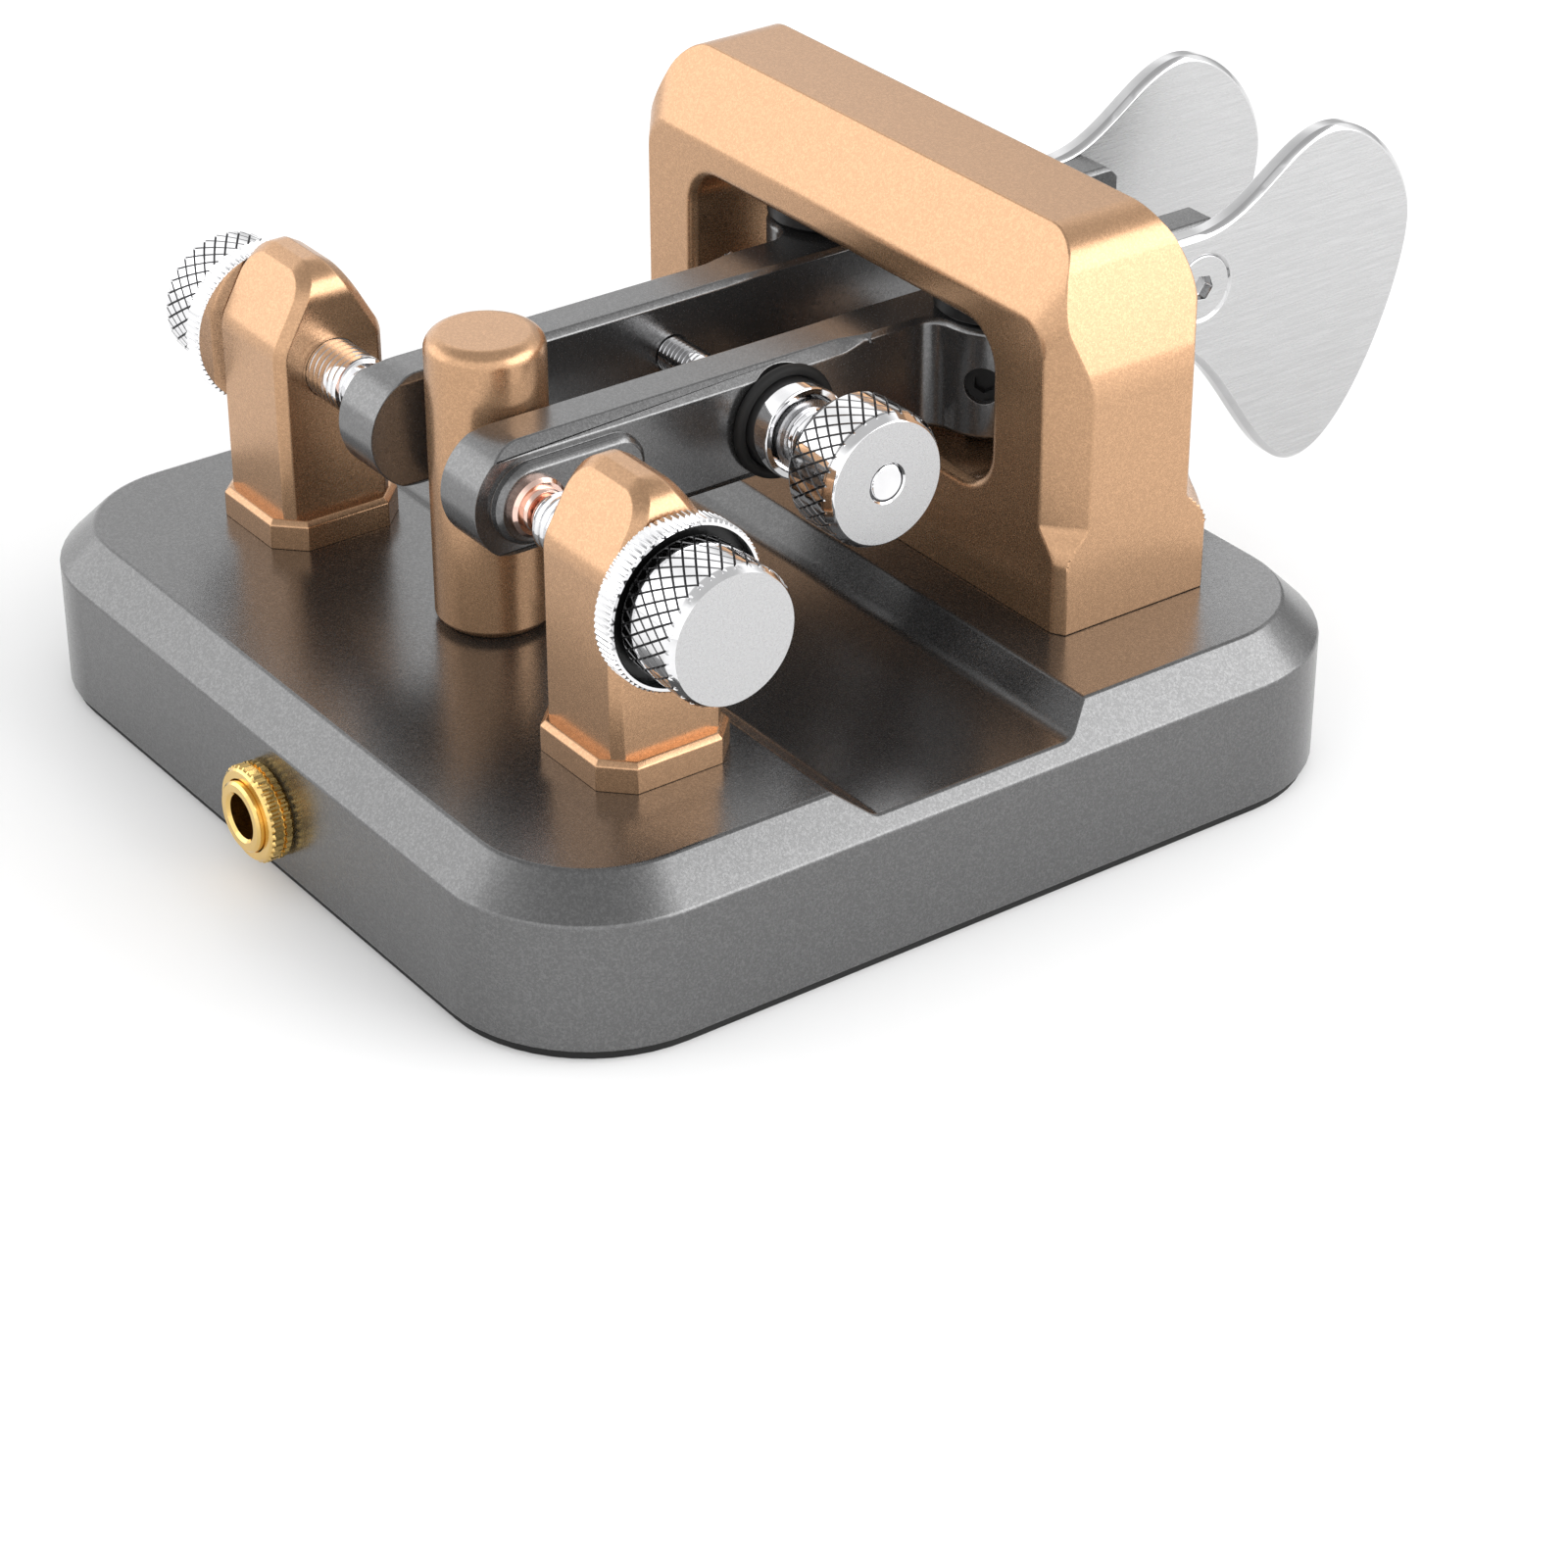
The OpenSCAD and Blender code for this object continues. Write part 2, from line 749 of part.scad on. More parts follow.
// seat of the spring, pushed by the knob
module tension_washer() {
  color(shine)
    translate([0, -ten_y, axis_z])
      difference() {
        rod_x(-cup_end - 0.2, -cup_end + 0.25, 2.9);
        rod_x(-20, 0, pin_r + pin_fit);
      }
}
module tension_rod() {
  color(shine)
    translate([0, -ten_y, axis_z])
      rod_x(-knob_face, arm_out - 0.7, pin_r);
}
module tension_knob() {
  color(shine)
    translate([0, -ten_y, axis_z])
      difference() {
        union() {
          rod_x(-knob_face + 0.6, -knob_back, ten_r);
          rod_x(-knob_face, -knob_face + 0.7, ten_r - 0.6);
          rod_x(-knob_back - 0.1, -cup_end - 0.25, neck_r);
        }
        rod_x(-30, 0, pin_r);
      }
}

base_plate();
foot_pad();
bridge();
bridge_screws();
centre_post();
centre_post_screw();
contact_post_left();
contact_post_right();
post_screws();
post_bushes();
jack_body();
jack_nut();
jack_springs();
wires();
pivot_pins();
pivot_spacers();
bearing_races();
lever_left();
bearings_left();
hub_screw_left();
contact_button_left();
finger_plate_left();
finger_screws_left();
lever_right();
bearings_right();
hub_screw_right();
contact_button_right();
finger_plate_right();
finger_screws_right();
contact_tip_left();
contact_screw_left();
contact_knob_left();
lock_nut_left();
contact_tip_right();
contact_screw_right();
contact_knob_right();
lock_nut_right();
tension_bush();
tension_ring();
tension_cup();
tension_spring();
tension_washer();
tension_rod();
tension_knob();
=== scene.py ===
import math

import bmesh
import bpy
import numpy as np
from mathutils import Matrix, Vector


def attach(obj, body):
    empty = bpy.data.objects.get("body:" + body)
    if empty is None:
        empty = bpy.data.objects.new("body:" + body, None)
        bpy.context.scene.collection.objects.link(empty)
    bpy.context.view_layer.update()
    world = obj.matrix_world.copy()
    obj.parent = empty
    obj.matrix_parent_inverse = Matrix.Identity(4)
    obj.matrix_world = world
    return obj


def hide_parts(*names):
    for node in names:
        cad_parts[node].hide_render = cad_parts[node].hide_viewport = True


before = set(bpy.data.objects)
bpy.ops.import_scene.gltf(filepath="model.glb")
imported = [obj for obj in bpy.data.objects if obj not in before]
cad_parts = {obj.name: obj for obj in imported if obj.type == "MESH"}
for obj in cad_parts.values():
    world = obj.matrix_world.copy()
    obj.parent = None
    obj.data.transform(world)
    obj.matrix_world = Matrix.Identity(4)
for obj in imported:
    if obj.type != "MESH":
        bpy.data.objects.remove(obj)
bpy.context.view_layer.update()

MM = 0.001

# ---------- dimensions in millimetres ----------
# They are the CAD part's, except KNOB_R, RECESS_R and CUP_R: 0.1 less, 0.25 and 0.1 more.
BASE_W, BASE_D, BASE_R = 80.0, 79.0, 12.5
PAD_T, PAD_IN, TOP = 0.8, 0.4, 14.4
BASE_C, CHANNEL, CAVITY_TOP = 3.0, 1.9, 7.5
BR_Y, BR_HW, BR_HT, BR_TOP = -22.9, 29.0, 7.55, 45.8
OPEN_W, OPEN_Z, OPEN_TOP = 39.6, 23.3, 36.7
PIV_X, AXIS_Z, ARM_H = 11.1, 29.1, 9.5
ARM_IN, ARM_OUT, FRONT_OUT, BOSS_OUT = 4.9, 9.7, 8.45, 10.75
ARM_LO, ARM_HI = AXIS_Z - ARM_H / 2, AXIS_Z + ARM_H / 2
HUB_R, HUB_FILLET = 5.05, 2.0
FRONT_END = -48.7
CON_Y, POST_X, POST_OUT, POST_TOP = 20.1, 23.2, 28.0, 37.6
CENTRE_Y = 17.4
BUT_OUT, TIP_IN = 12.15, 12.65
SCREW_R, KNOB_R, NUT_R, RECESS_R = 2.5, 5.5, 6.7, 6.15
NUT_FLOOR, KNOB_END = 29.2, 36.0
TEN_Y, TEN_R, SEAT_X = -3.0, 5.5, 9.0
CUP_END, CUP_R, KNOB_FACE, KNOB_BACK, NECK_R = 12.9, 3.8, 23.2, 17.5, 2.4
PLATE_OUT = FRONT_OUT + 2.0
PLATE_SCREWS = (-37.1, -45.1)
JACK_X, JACK_Z, JACK_BACK, JACK_WALL = -2.25, 5.8, 22.0, 34.0
PIN_R, M3_R = 1.5, 1.5


# ---------- outlines ----------
def arc(cx, cy, r, a0, a1, step=7.0):
    """Points of an arc between two angles in degrees, both ends included."""
    n = max(2, math.ceil(abs(a1 - a0) / step))
    return [(cx + r * math.cos(math.radians(a0 + (a1 - a0) * i / n)),
             cy + r * math.sin(math.radians(a0 + (a1 - a0) * i / n)))
            for i in range(n + 1)]


def rounded(corners, step=7.0):
    """An outline from corners (x, y, radius), each rounded by its radius."""
    out = []
    for i, (x, y, r) in enumerate(corners):
        p = Vector((x, y))
        if r <= 0:
            out.append((x, y))
            continue
        a = (Vector(corners[i - 1][:2]) - p).normalized()
        b = (Vector(corners[(i + 1) % len(corners)][:2]) - p).normalized()
        half = a.angle(b) / 2
        c = p + (a + b).normalized() * (r / math.sin(half))
        s = p + a * (r / math.tan(half)) - c
        e = p + b * (r / math.tan(half)) - c
        a0 = math.degrees(math.atan2(s.y, s.x))
        turn = (math.degrees(math.atan2(e.y, e.x)) - a0 + 180) % 360 - 180
        out += arc(c.x, c.y, r, a0, a0 + turn, step)
    return out


def rect(x0, x1, y0, y1, r=0.0):
    return rounded([(x0, y0, r), (x1, y0, r), (x1, y1, r), (x0, y1, r)])


def cut_rect(w, d, c):
    """A plan outline whose corners are cut off by c."""
    x, y = w / 2, d / 2
    return [(c - x, -y), (x - c, -y), (x, c - y), (x, y - c),
            (x - c, y), (c - x, y), (-x, y - c), (-x, c - y)]


def inset(outline, d):
    """The outline moved inwards by d, corner for corner."""
    n = len(outline)
    pts = [Vector(p) for p in outline]
    area = sum(pts[i].x * pts[(i + 1) % n].y - pts[(i + 1) % n].x * pts[i].y for i in range(n))
    s = 1 if area > 0 else -1
    out = []
    for i in range(n):
        e1 = (pts[i] - pts[i - 1]).normalized()
        e2 = (pts[(i + 1) % n] - pts[i]).normalized()
        n1, n2 = Vector((e1.y, -e1.x)) * s, Vector((e2.y, -e2.x)) * s
        out.append(tuple(pts[i] - (n1 + n2) * (d / (1 + n1.dot(n2)))))
    return out


def bezier(a, b, c, d, n):
    """n points of a cubic curve, without its last."""
    a, b, c, d = (Vector(p) for p in (a, b, c, d))
    return [tuple(a * (1 - t) ** 3 + b * 3 * (1 - t) ** 2 * t
                  + c * 3 * (1 - t) * t * t + d * t ** 3)
            for t in (i / n for i in range(n))]


# ---------- meshes, modelled in millimetres ----------
def at(axis, u, v, w):
    """A point from its place w along an axis and the outline's u and v across it."""
    return {"x": (w, u, v), "y": (u, w, v), "z": (u, v, w)}[axis]


def make(verts, faces):
    """An object from points and faces."""
    mesh = bpy.data.meshes.new("m")
    mesh.from_pydata([tuple(v) for v in verts], [], faces)
    obj = bpy.data.objects.new("m", mesh)
    bpy.context.scene.collection.objects.link(obj)
    tidy(obj, flat=False)
    return obj


def tidy(obj, flat=True):
    """Merges doubled points, joins coplanar faces and turns every face outwards."""
    bm = bmesh.new()
    bm.from_mesh(obj.data)
    bmesh.ops.remove_doubles(bm, verts=bm.verts, dist=1e-3)
    if flat:
        bmesh.ops.dissolve_limit(bm, angle_limit=math.radians(0.3), verts=bm.verts, edges=bm.edges)
    bmesh.ops.recalc_face_normals(bm, faces=bm.faces)
    bm.to_mesh(obj.data)
    bm.free()


def loft(rings):
    """A solid through rings that have the same number of points."""
    n = len(rings[0])
    verts = [p for ring in rings for p in ring]
    faces = [tuple(range(n)), tuple(range(len(verts) - n, len(verts)))]
    for k in range(len(rings) - 1):
        faces += [(k * n + i, k * n + (i + 1) % n, (k + 1) * n + (i + 1) % n, (k + 1) * n + i)
                  for i in range(n)]
    return make(verts, faces)


def prism(axis, outline, stations):
    """An outline along an axis; stations are (place, inset)."""
    return loft([[at(axis, u, v, w) for u, v in (inset(outline, d) if d else outline)]
                 for w, d in stations])


def block(x0, x1, y0, y1, z0, z1):
    return prism("z", rect(x0, x1, y0, y1), [(z0, 0), (z1, 0)])


def grid(axis, centre, rows, n, closed=False, split=None, turn=0.0):
    """Rings round an axis. rows are (place, radius), each a number or an array of n;
    split(i, j) tells how a cell is cut in two."""
    phi = np.arange(n) * 2 * math.pi / n + turn
    verts = []
    for w, r in rows:
        w, r = np.broadcast_to(w, n), np.broadcast_to(r, n)
        a, b = r * np.cos(phi), r * np.sin(phi)
        for i in range(n):
            p = {"x": (w[i], centre[0] + a[i], centre[1] + b[i]),
                 "y": (centre[0] + b[i], w[i], centre[1] + a[i]),
                 "z": (centre[0] + a[i], centre[1] + b[i], w[i])}[axis]
            verts.append(p)
    faces = []
    m = len(rows)
    for j in range(m if closed else m - 1):
        for i in range(n):
            a, b = j * n + i, j * n + (i + 1) % n
            d, c = ((j + 1) % m) * n + i, ((j + 1) % m) * n + (i + 1) % n
            way = split(i, j) if split else 0
            if way == 0:
                faces.append((a, b, c, d))
            elif way > 0:
                faces += [(a, b, c), (a, c, d)]
            else:
                faces += [(a, b, d), (b, c, d)]
    if not closed:
        for row in (0, m - 1):
            if np.max(rows[row][1]) > 1e-6:
                faces.append(tuple(range(row * n, row * n + n)))
    return make(verts, faces)


def bake(obj):
    """Replaces the mesh by its modified form."""
    deps = bpy.context.evaluated_depsgraph_get()
    mesh = bpy.data.meshes.new_from_object(obj.evaluated_get(deps))
    obj.modifiers.clear()
    obj.data = mesh
    return obj


def join(obj, tools, how):
    """An exact boolean with each tool in turn; the tools are used up."""
    for tool in tools:
        mod = obj.modifiers.new("join", "BOOLEAN")
        mod.operation, mod.solver, mod.object = how, "EXACT", tool
        bake(obj)
        bpy.data.objects.remove(tool)
    return obj


def cut(obj, *tools):
    return join(obj, tools, "DIFFERENCE")


def add(obj, *tools):
    return join(obj, tools, "UNION")


def both(obj, *tools):
    return join(obj, tools, "INTERSECT")


def mirror(obj, flip=(-1, 1, 1), shift=(0, 0, 0)):
    """A copy on the other side; flips of two axes are half a turn."""
    twin = bpy.data.objects.new("m", obj.data.copy())
    bpy.context.scene.collection.objects.link(twin)
    co = np.empty(len(twin.data.vertices) * 3)
    twin.data.vertices.foreach_get("co", co)
    co = co.reshape(-1, 3) * flip + shift
    twin.data.vertices.foreach_set("co", co.ravel())
    if np.prod(flip) < 0:
        twin.data.flip_normals()
    return twin


def rounds(obj, width, segments=2, angle=28.0):
    """Small rounds on every edge sharper than the angle."""
    tidy(obj)
    mod = obj.modifiers.new("rounds", "BEVEL")
    mod.width, mod.segments = width, segments
    mod.limit_method, mod.angle_limit = "ANGLE", math.radians(angle)
    mod.use_clamp_overlap = False
    mod.miter_outer = "MITER_ARC"
    return bake(obj)


def piece(obj, name, body, slot, nodes, *mats, sharp=32.0, inside=None):
    """Finishes a piece: metres, smooth shading, its material, body and CAD nodes.
    inside(face centre in mm, normal) gives the material's number, 0 for the first."""
    mesh = obj.data
    obj.name = name
    mesh.name = name
    mesh.materials.clear()
    for m in mats:
        mesh.materials.append(m)
    for poly in mesh.polygons:
        poly.material_index = int(inside(poly.center, poly.normal)) if inside else 0
    mesh.transform(Matrix.Scale(MM, 4))
    mesh.shade_smooth()
    mesh.set_sharp_from_angle(angle=math.radians(sharp))
    mod = obj.modifiers.new("normals", "WEIGHTED_NORMAL")
    mod.keep_sharp, mod.weight = True, 60
    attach(obj, body)
    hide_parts(*nodes)
    return obj


# ---------- materials ----------
def nodes_of(name):
    """A new material with its node tree and its shader."""
    mat = bpy.data.materials.new(name)
    mat.use_nodes = True
    tree = mat.node_tree
    return mat, tree, tree.nodes["Principled BSDF"]


def link(tree, a, out, b, inp):
    tree.links.new(a.outputs[out], b.inputs[inp])


def scaled(tree, stretch=(1, 1, 1)):
    """Object coordinates in millimetres."""
    co = tree.nodes.new("ShaderNodeTexCoord")
    mp = tree.nodes.new("ShaderNodeMapping")
    mp.inputs["Scale"].default_value = [1000 * s for s in stretch]
    link(tree, co, "Object", mp, "Vector")
    return mp


def noise(tree, mp, scale, detail=2.0, rough=0.5):
    """A noise texture; scale is in cells per millimetre."""
    n = tree.nodes.new("ShaderNodeTexNoise")
    for key, v in (("Scale", scale), ("Detail", detail), ("Roughness", rough)):
        n.inputs[key].default_value = v
    link(tree, mp, "Vector", n, "Vector")
    return n


def spread(tree, src, out, lo, hi, a=0.3, b=0.7):
    """A value stretched from a..b to lo..hi."""
    m = tree.nodes.new("ShaderNodeMapRange")
    for key, v in (("From Min", a), ("From Max", b), ("To Min", lo), ("To Max", hi)):
        m.inputs[key].default_value = v
    link(tree, src, out, m, "Value")
    return m


def bump(tree, src, out, bsdf, strength, distance):
    """Bump of a height in millimetres."""
    b = tree.nodes.new("ShaderNodeBump")
    b.inputs["Strength"].default_value = strength
    b.inputs["Distance"].default_value = distance * MM
    link(tree, src, out, b, "Height")
    link(tree, b, "Normal", bsdf, "Normal")


def tint(tree, bsdf, color, src, lo, hi, a=0.3, b=0.7):
    """Base colour, lightened and darkened by a value."""
    m = spread(tree, src, 0, lo, hi, a, b)
    v = tree.nodes.new("ShaderNodeVectorMath")
    v.operation = "SCALE"
    v.inputs[0].default_value = color
    link(tree, m, "Result", v, "Scale")
    link(tree, v, "Vector", bsdf, "Base Color")


def blasted(name, color, rough, metallic, tone_and_glint, grain):
    """Fine-blasted anodised metal: a grain of about 0.15 mm, and cells of random tone whose lighter
    ones are painted glints.
    """
    mat, tree, bsdf = nodes_of(name)
    bsdf.inputs["Metallic"].default_value = metallic
    mp = scaled(tree)
    cells = tree.nodes.new("ShaderNodeTexVoronoi")
    cells.inputs["Scale"].default_value = 7.0
    link(tree, mp, "Vector", cells, "Vector")
    sep = tree.nodes.new("ShaderNodeSeparateColor")
    link(tree, cells, "Color", sep, "Color")
    # cells of random tone; the lighter ones are painted glints
    tint(tree, bsdf, color, sep, 1 - 0.35 * tone_and_glint, 1 + tone_and_glint, 0.35, 1.0)
    fine = noise(tree, mp, 6.0, 3, 0.6)
    r = spread(tree, fine, "Fac", rough - 0.05, rough + 0.06)
    link(tree, r, "Result", bsdf, "Roughness")
    bump(tree, fine, "Fac", bsdf, grain, 0.03)
    return mat


def polished(name, color, rough):
    """Bright plating with faint haze and polishing marks."""
    mat, tree, bsdf = nodes_of(name)
    bsdf.inputs["Metallic"].default_value = 1.0
    mp = scaled(tree)
    wide = noise(tree, mp, 0.5, 3)
    tint(tree, bsdf, color, wide, 0.95, 1.04)
    fine = noise(tree, mp, 6.0, 2)
    r = spread(tree, fine, "Fac", rough * 0.7, rough * 1.4)
    link(tree, r, "Result", bsdf, "Roughness")
    bump(tree, fine, "Fac", bsdf, 0.03, 0.01)
    return mat


def brushed(name, color, rough, stretch, strength=0.12, scale=7.0):
    """Metal with long fine scratches along the axis that the stretch shrinks."""
    mat, tree, bsdf = nodes_of(name)
    bsdf.inputs["Metallic"].default_value = 1.0
    mp = scaled(tree, stretch)
    lines = noise(tree, mp, scale, 4, 0.7)
    tint(tree, bsdf, color, lines, 0.92, 1.07)
    r = spread(tree, lines, "Fac", rough - 0.06, rough + 0.08)
    link(tree, r, "Result", bsdf, "Roughness")
    bump(tree, lines, "Fac", bsdf, strength, 0.02)
    return mat


def dull(name, color, rough, grain=0.3, scale=3.0, spec=0.4):
    """Plastic, rubber or black oxide: a matt surface with a fine texture."""
    mat, tree, bsdf = nodes_of(name)
    bsdf.inputs["Specular IOR Level"].default_value = spec
    mp = scaled(tree)
    fine = noise(tree, mp, scale, 4, 0.6)
    tint(tree, bsdf, color, fine, 0.8, 1.25)
    r = spread(tree, fine, "Fac", rough - 0.08, rough + 0.08)
    link(tree, r, "Result", bsdf, "Roughness")
    bump(tree, fine, "Fac", bsdf, grain, 0.03)
    return mat


GREY = blasted("anodised_grey", (0.150, 0.150, 0.151), 0.25, 0.92, 0.20, 0.08)
# a lighter, less metallic copy of the base's grey: painted fill light on the levers in the shaded
# middle of the key
ARM_PAINTED_FILL = blasted("lever_grey_painted_fill", (0.170, 0.170, 0.171), 0.23, 0.88, 0.20, 0.07)
ROSE = blasted("anodised_rose", (0.490, 0.293, 0.168), 0.27, 0.85, 0.14, 0.08)
CHROME = polished("chrome", (0.80, 0.80, 0.81), 0.06)
FACE = brushed("turned_face", (0.52, 0.52, 0.525), 0.28, (1, 1, 1), 0.10, 5.0)
PLATE = brushed("plate_brushed", (0.50, 0.50, 0.502), 0.26, (1, 0.035, 1), 0.16, 6.0)
# a dark copy of the plating for the knurls' groove faces: painted shade in the grooves
GROOVE_SHADE = brushed("knurl_grooves_painted_shade", (0.20, 0.20, 0.205), 0.3, (1, 1, 1), 0.1, 6.0)
# kept well below the chrome's brightness: a painted dark reflection on the plates' rims and the
# screws' edges, and painted shade in the screws' sockets
BEVEL = polished("plate_bevel_painted_reflection", (0.56, 0.56, 0.565), 0.08)
COPPER = polished("contact_copper", (0.86, 0.61, 0.52), 0.14)
GOLD = polished("gold", (0.80, 0.55, 0.20), 0.16)
STEEL = brushed("ground_steel", (0.55, 0.55, 0.56), 0.25, (1, 1, 0.1))
BLACK = dull("black_plastic", (0.012, 0.012, 0.012), 0.38)
# black oxide of the screws, and painted shade inside the lock nuts' recesses
OXIDE_AND_SHADE = dull("black_oxide_and_painted_shade", (0.006, 0.006, 0.0062), 0.35, 0.15, 6.0)
RUBBER = dull("rubber", (0.010, 0.010, 0.010), 0.62, 0.4, 2.0, 0.3)
ACETAL = dull("insulator", (0.80, 0.79, 0.73), 0.45, 0.12)
RED = dull("wire_red", (0.45, 0.03, 0.025), 0.4, 0.1)

# ---------- base ----------
plan = rect(-BASE_W / 2, BASE_W / 2, -BASE_D / 2, BASE_D / 2, BASE_R)
base = prism("z", plan, [(PAD_T, 0.0), (TOP - BASE_C, 0.0), (TOP, BASE_C)])
# the channel's two edges along Y, on the base's top and on the channel's floor
TOP_Y, FLOOR_Y = (-11.2, 12.3), (-8.5, 9.8)
channel = rounded([(TOP_Y[1], TOP, 0.0), (FLOOR_Y[1], TOP - CHANNEL, 1.2),
                   (FLOOR_Y[0], TOP - CHANNEL, 2.6), (TOP_Y[0], TOP, 0.0),
                   (TOP_Y[0], TOP + 3, 0.0), (TOP_Y[1], TOP + 3, 0.0)])
cut(base, prism("x", channel, [(-50, 0), (50, 0)]))
# underneath: a cavity for the wires, its branches to the posts, and the socket's pocket
CAVITY_HW, CAVITY_Y, BRANCH_HW, BRANCH_HY, POCKET, HOLE_R = 14, 8, 27, 4, 3.8, 3.02
cut(base,
    block(-CAVITY_HW, CAVITY_HW, CAVITY_Y, JACK_WALL, -1, CAVITY_TOP),
    block(-BRANCH_HW, BRANCH_HW, CON_Y - BRANCH_HY, CON_Y + BRANCH_HY, -1, CAVITY_TOP),
    block(JACK_X - POCKET, JACK_X + POCKET, JACK_BACK - 0.5, JACK_WALL, -1, JACK_Z + POCKET),
    grid("y", (JACK_X, JACK_Z), [(JACK_WALL - 1, HOLE_R), (BASE_D / 2 + 2, HOLE_R)], 48))
rounds(base, 0.22, 3, 24)
piece(base, "base_plate_v", "base", "anodised_grey", ["base_plate"], GREY)

pad = prism("z", inset(plan, PAD_IN), [(0.0, 0.0), (PAD_T, 0.0)])
rounds(pad, 0.15)
piece(pad, "foot_pad_v", "base", "pad_rubber", ["foot_pad"], RUBBER)

# ---------- bridge ----------
# the corner cuts seen from the front, and the slopes at the top of both faces
CORNER_H, CORNER_W = 11.1, 4.0
SLOPE_H, SLOPE_D = 6.3, 3.65
# the facets on the upright corners: their size on the feet, and how much wider they get above
FACET_X, FACET_Y, WIDEN_X, WIDEN_Y = 1.1, 0.65, 1.9, 2.0
# (height, share of that widening)
WIDENING = [(TOP - 1, 0.0), (20.0, 0.0), (20.35, 0.03), (20.8, 0.11), (21.3, 0.26),
            (21.8, 0.47), (22.3, 0.71), (22.7, 0.89), (23.1, 1.0)]
front = rounded([(-BR_HW, TOP, 0), (BR_HW, TOP, 0), (BR_HW, BR_TOP - CORNER_H, 8.0),
                 (BR_HW - CORNER_W, BR_TOP, 4.2), (CORNER_W - BR_HW, BR_TOP, 4.2),
                 (-BR_HW, BR_TOP - CORNER_H, 8.0)], 3.5)


def hood(depth, pull):
    """The bridge's outline at a depth behind its faces: narrow corner facets on the feet,
    wider ones above, and slopes at the top that run into them round the corners. pull
    draws the outline in, which softens the edge of a face."""
    pts = []
    for z, t in WIDENING:
        fx, fy = FACET_X + WIDEN_X * t, FACET_Y + WIDEN_Y * t
        pts.append((BR_HW - fx + fx * depth / fy - 0.25 * pull, z))
    x, z = pts[-1][0], BR_TOP - SLOPE_H + SLOPE_H * depth / SLOPE_D - pull
    r = 2.8 + 0.35 * depth
    pts += arc(x - r, z - r, r, 0, 90)
    return pts + [(-u, v) for u, v in reversed(pts)]


folds = [(0.0, 0.4), (0.05, 0.1), (0.2, 0.0), (4.4, 0.0)]  # (depth, pull)
stations = [(BR_Y - BR_HT + d, d, p) for d, p in folds]
stations += [(BR_Y + BR_HT - d, d, p) for d, p in reversed(folds)]
bridge = both(prism("y", front, [(BR_Y - 12, 0), (BR_Y + 12, 0)]),
              loft([[at("y", u, v, w) for u, v in hood(d, p)] for w, d, p in stations]))

PORTAL_R, LIP = 3.4, 0.9
portal = rect(-OPEN_W / 2, OPEN_W / 2, OPEN_Z, OPEN_TOP, PORTAL_R)
lips = []
for k in range(6):
    a = math.radians(18 * k)
    lips.append((BR_HT - LIP * (1 - math.cos(a)), -LIP * (1 - math.sin(a))))
# (place, inset) through the bridge, with the lips' quarter rounds at both faces
mouth = [(BR_Y - BR_HT - 1, -LIP)] + [(BR_Y - w, i) for w, i in lips]
mouth += [(BR_Y + w, i) for w, i in reversed(lips)] + [(BR_Y + BR_HT + 1, -LIP)]
cut(bridge, prism("y", portal, mouth))

PIN_TOP, BR_SCREW_X, BR_SCREW_Y = TOP + 27.2, 24.4, 4.2
for s in (-1, 1):
    cut(bridge, grid("z", (s * PIV_X, BR_Y), [(TOP - 1, PIN_R), (PIN_TOP, PIN_R)], 40))
    for y in (-BR_SCREW_Y, BR_SCREW_Y):
        cut(bridge, grid("z", (s * BR_SCREW_X, BR_Y + y), [(TOP - 1, M3_R), (TOP + 8, M3_R)],
                         32))
rounds(bridge, 0.16, 2, 22)
piece(bridge, "bridge_v", "base", "anodised_rose", ["bridge"], ROSE)

SPACER_R, SLEEVE_R, BORE_R = 5.0, 2.2, PIN_R + 0.02
for s, side in ((-1, "left"), (1, "right")):
    top = grid("z", (s * PIV_X, BR_Y), [
        (ARM_HI - 0.2, BORE_R), (ARM_HI - 0.2, SLEEVE_R), (ARM_HI + 0.3, SLEEVE_R),
        (ARM_HI + 0.3, SPACER_R - 0.2), (ARM_HI + 0.5, SPACER_R), (OPEN_TOP - 0.25, SPACER_R),
        (OPEN_TOP, SPACER_R - 0.2), (OPEN_TOP, BORE_R)], 64, closed=True)
    low = grid("z", (s * PIV_X, BR_Y), [
        (OPEN_Z, BORE_R), (OPEN_Z, SLEEVE_R), (ARM_LO + 0.2, SLEEVE_R), (ARM_LO + 0.2, BORE_R)],
        48, closed=True)
    for obj, name in ((top, "pivot_spacer_top_"), (low, "pivot_spacer_low_")):
        piece(obj, name + side, "base", "black_plastic", ["pivot_spacers"], BLACK)

# ---------- posts ----------
CENTRE_R, CENTRE_TOP, CENTRE_ROUND = 4.67, 38.5, 1.3
centre = grid("z", (0, CENTRE_Y), [
    (TOP, 0), (TOP, CENTRE_R - 0.7), (TOP + 0.7, CENTRE_R),
    *[(CENTRE_TOP - CENTRE_ROUND + b, CENTRE_R - CENTRE_ROUND + a)
      for a, b in arc(0, 0, CENTRE_ROUND, 0, 90, 9)],
    (CENTRE_TOP, 0)], 96)
cut(centre, grid("z", (0, CENTRE_Y), [(TOP - 1, 2.0), (TOP + 11, 2.0)], 40))
rounds(centre, 0.12, 2, 30)
piece(centre, "centre_post_v", "base", "anodised_rose", ["centre_post"], ROSE)

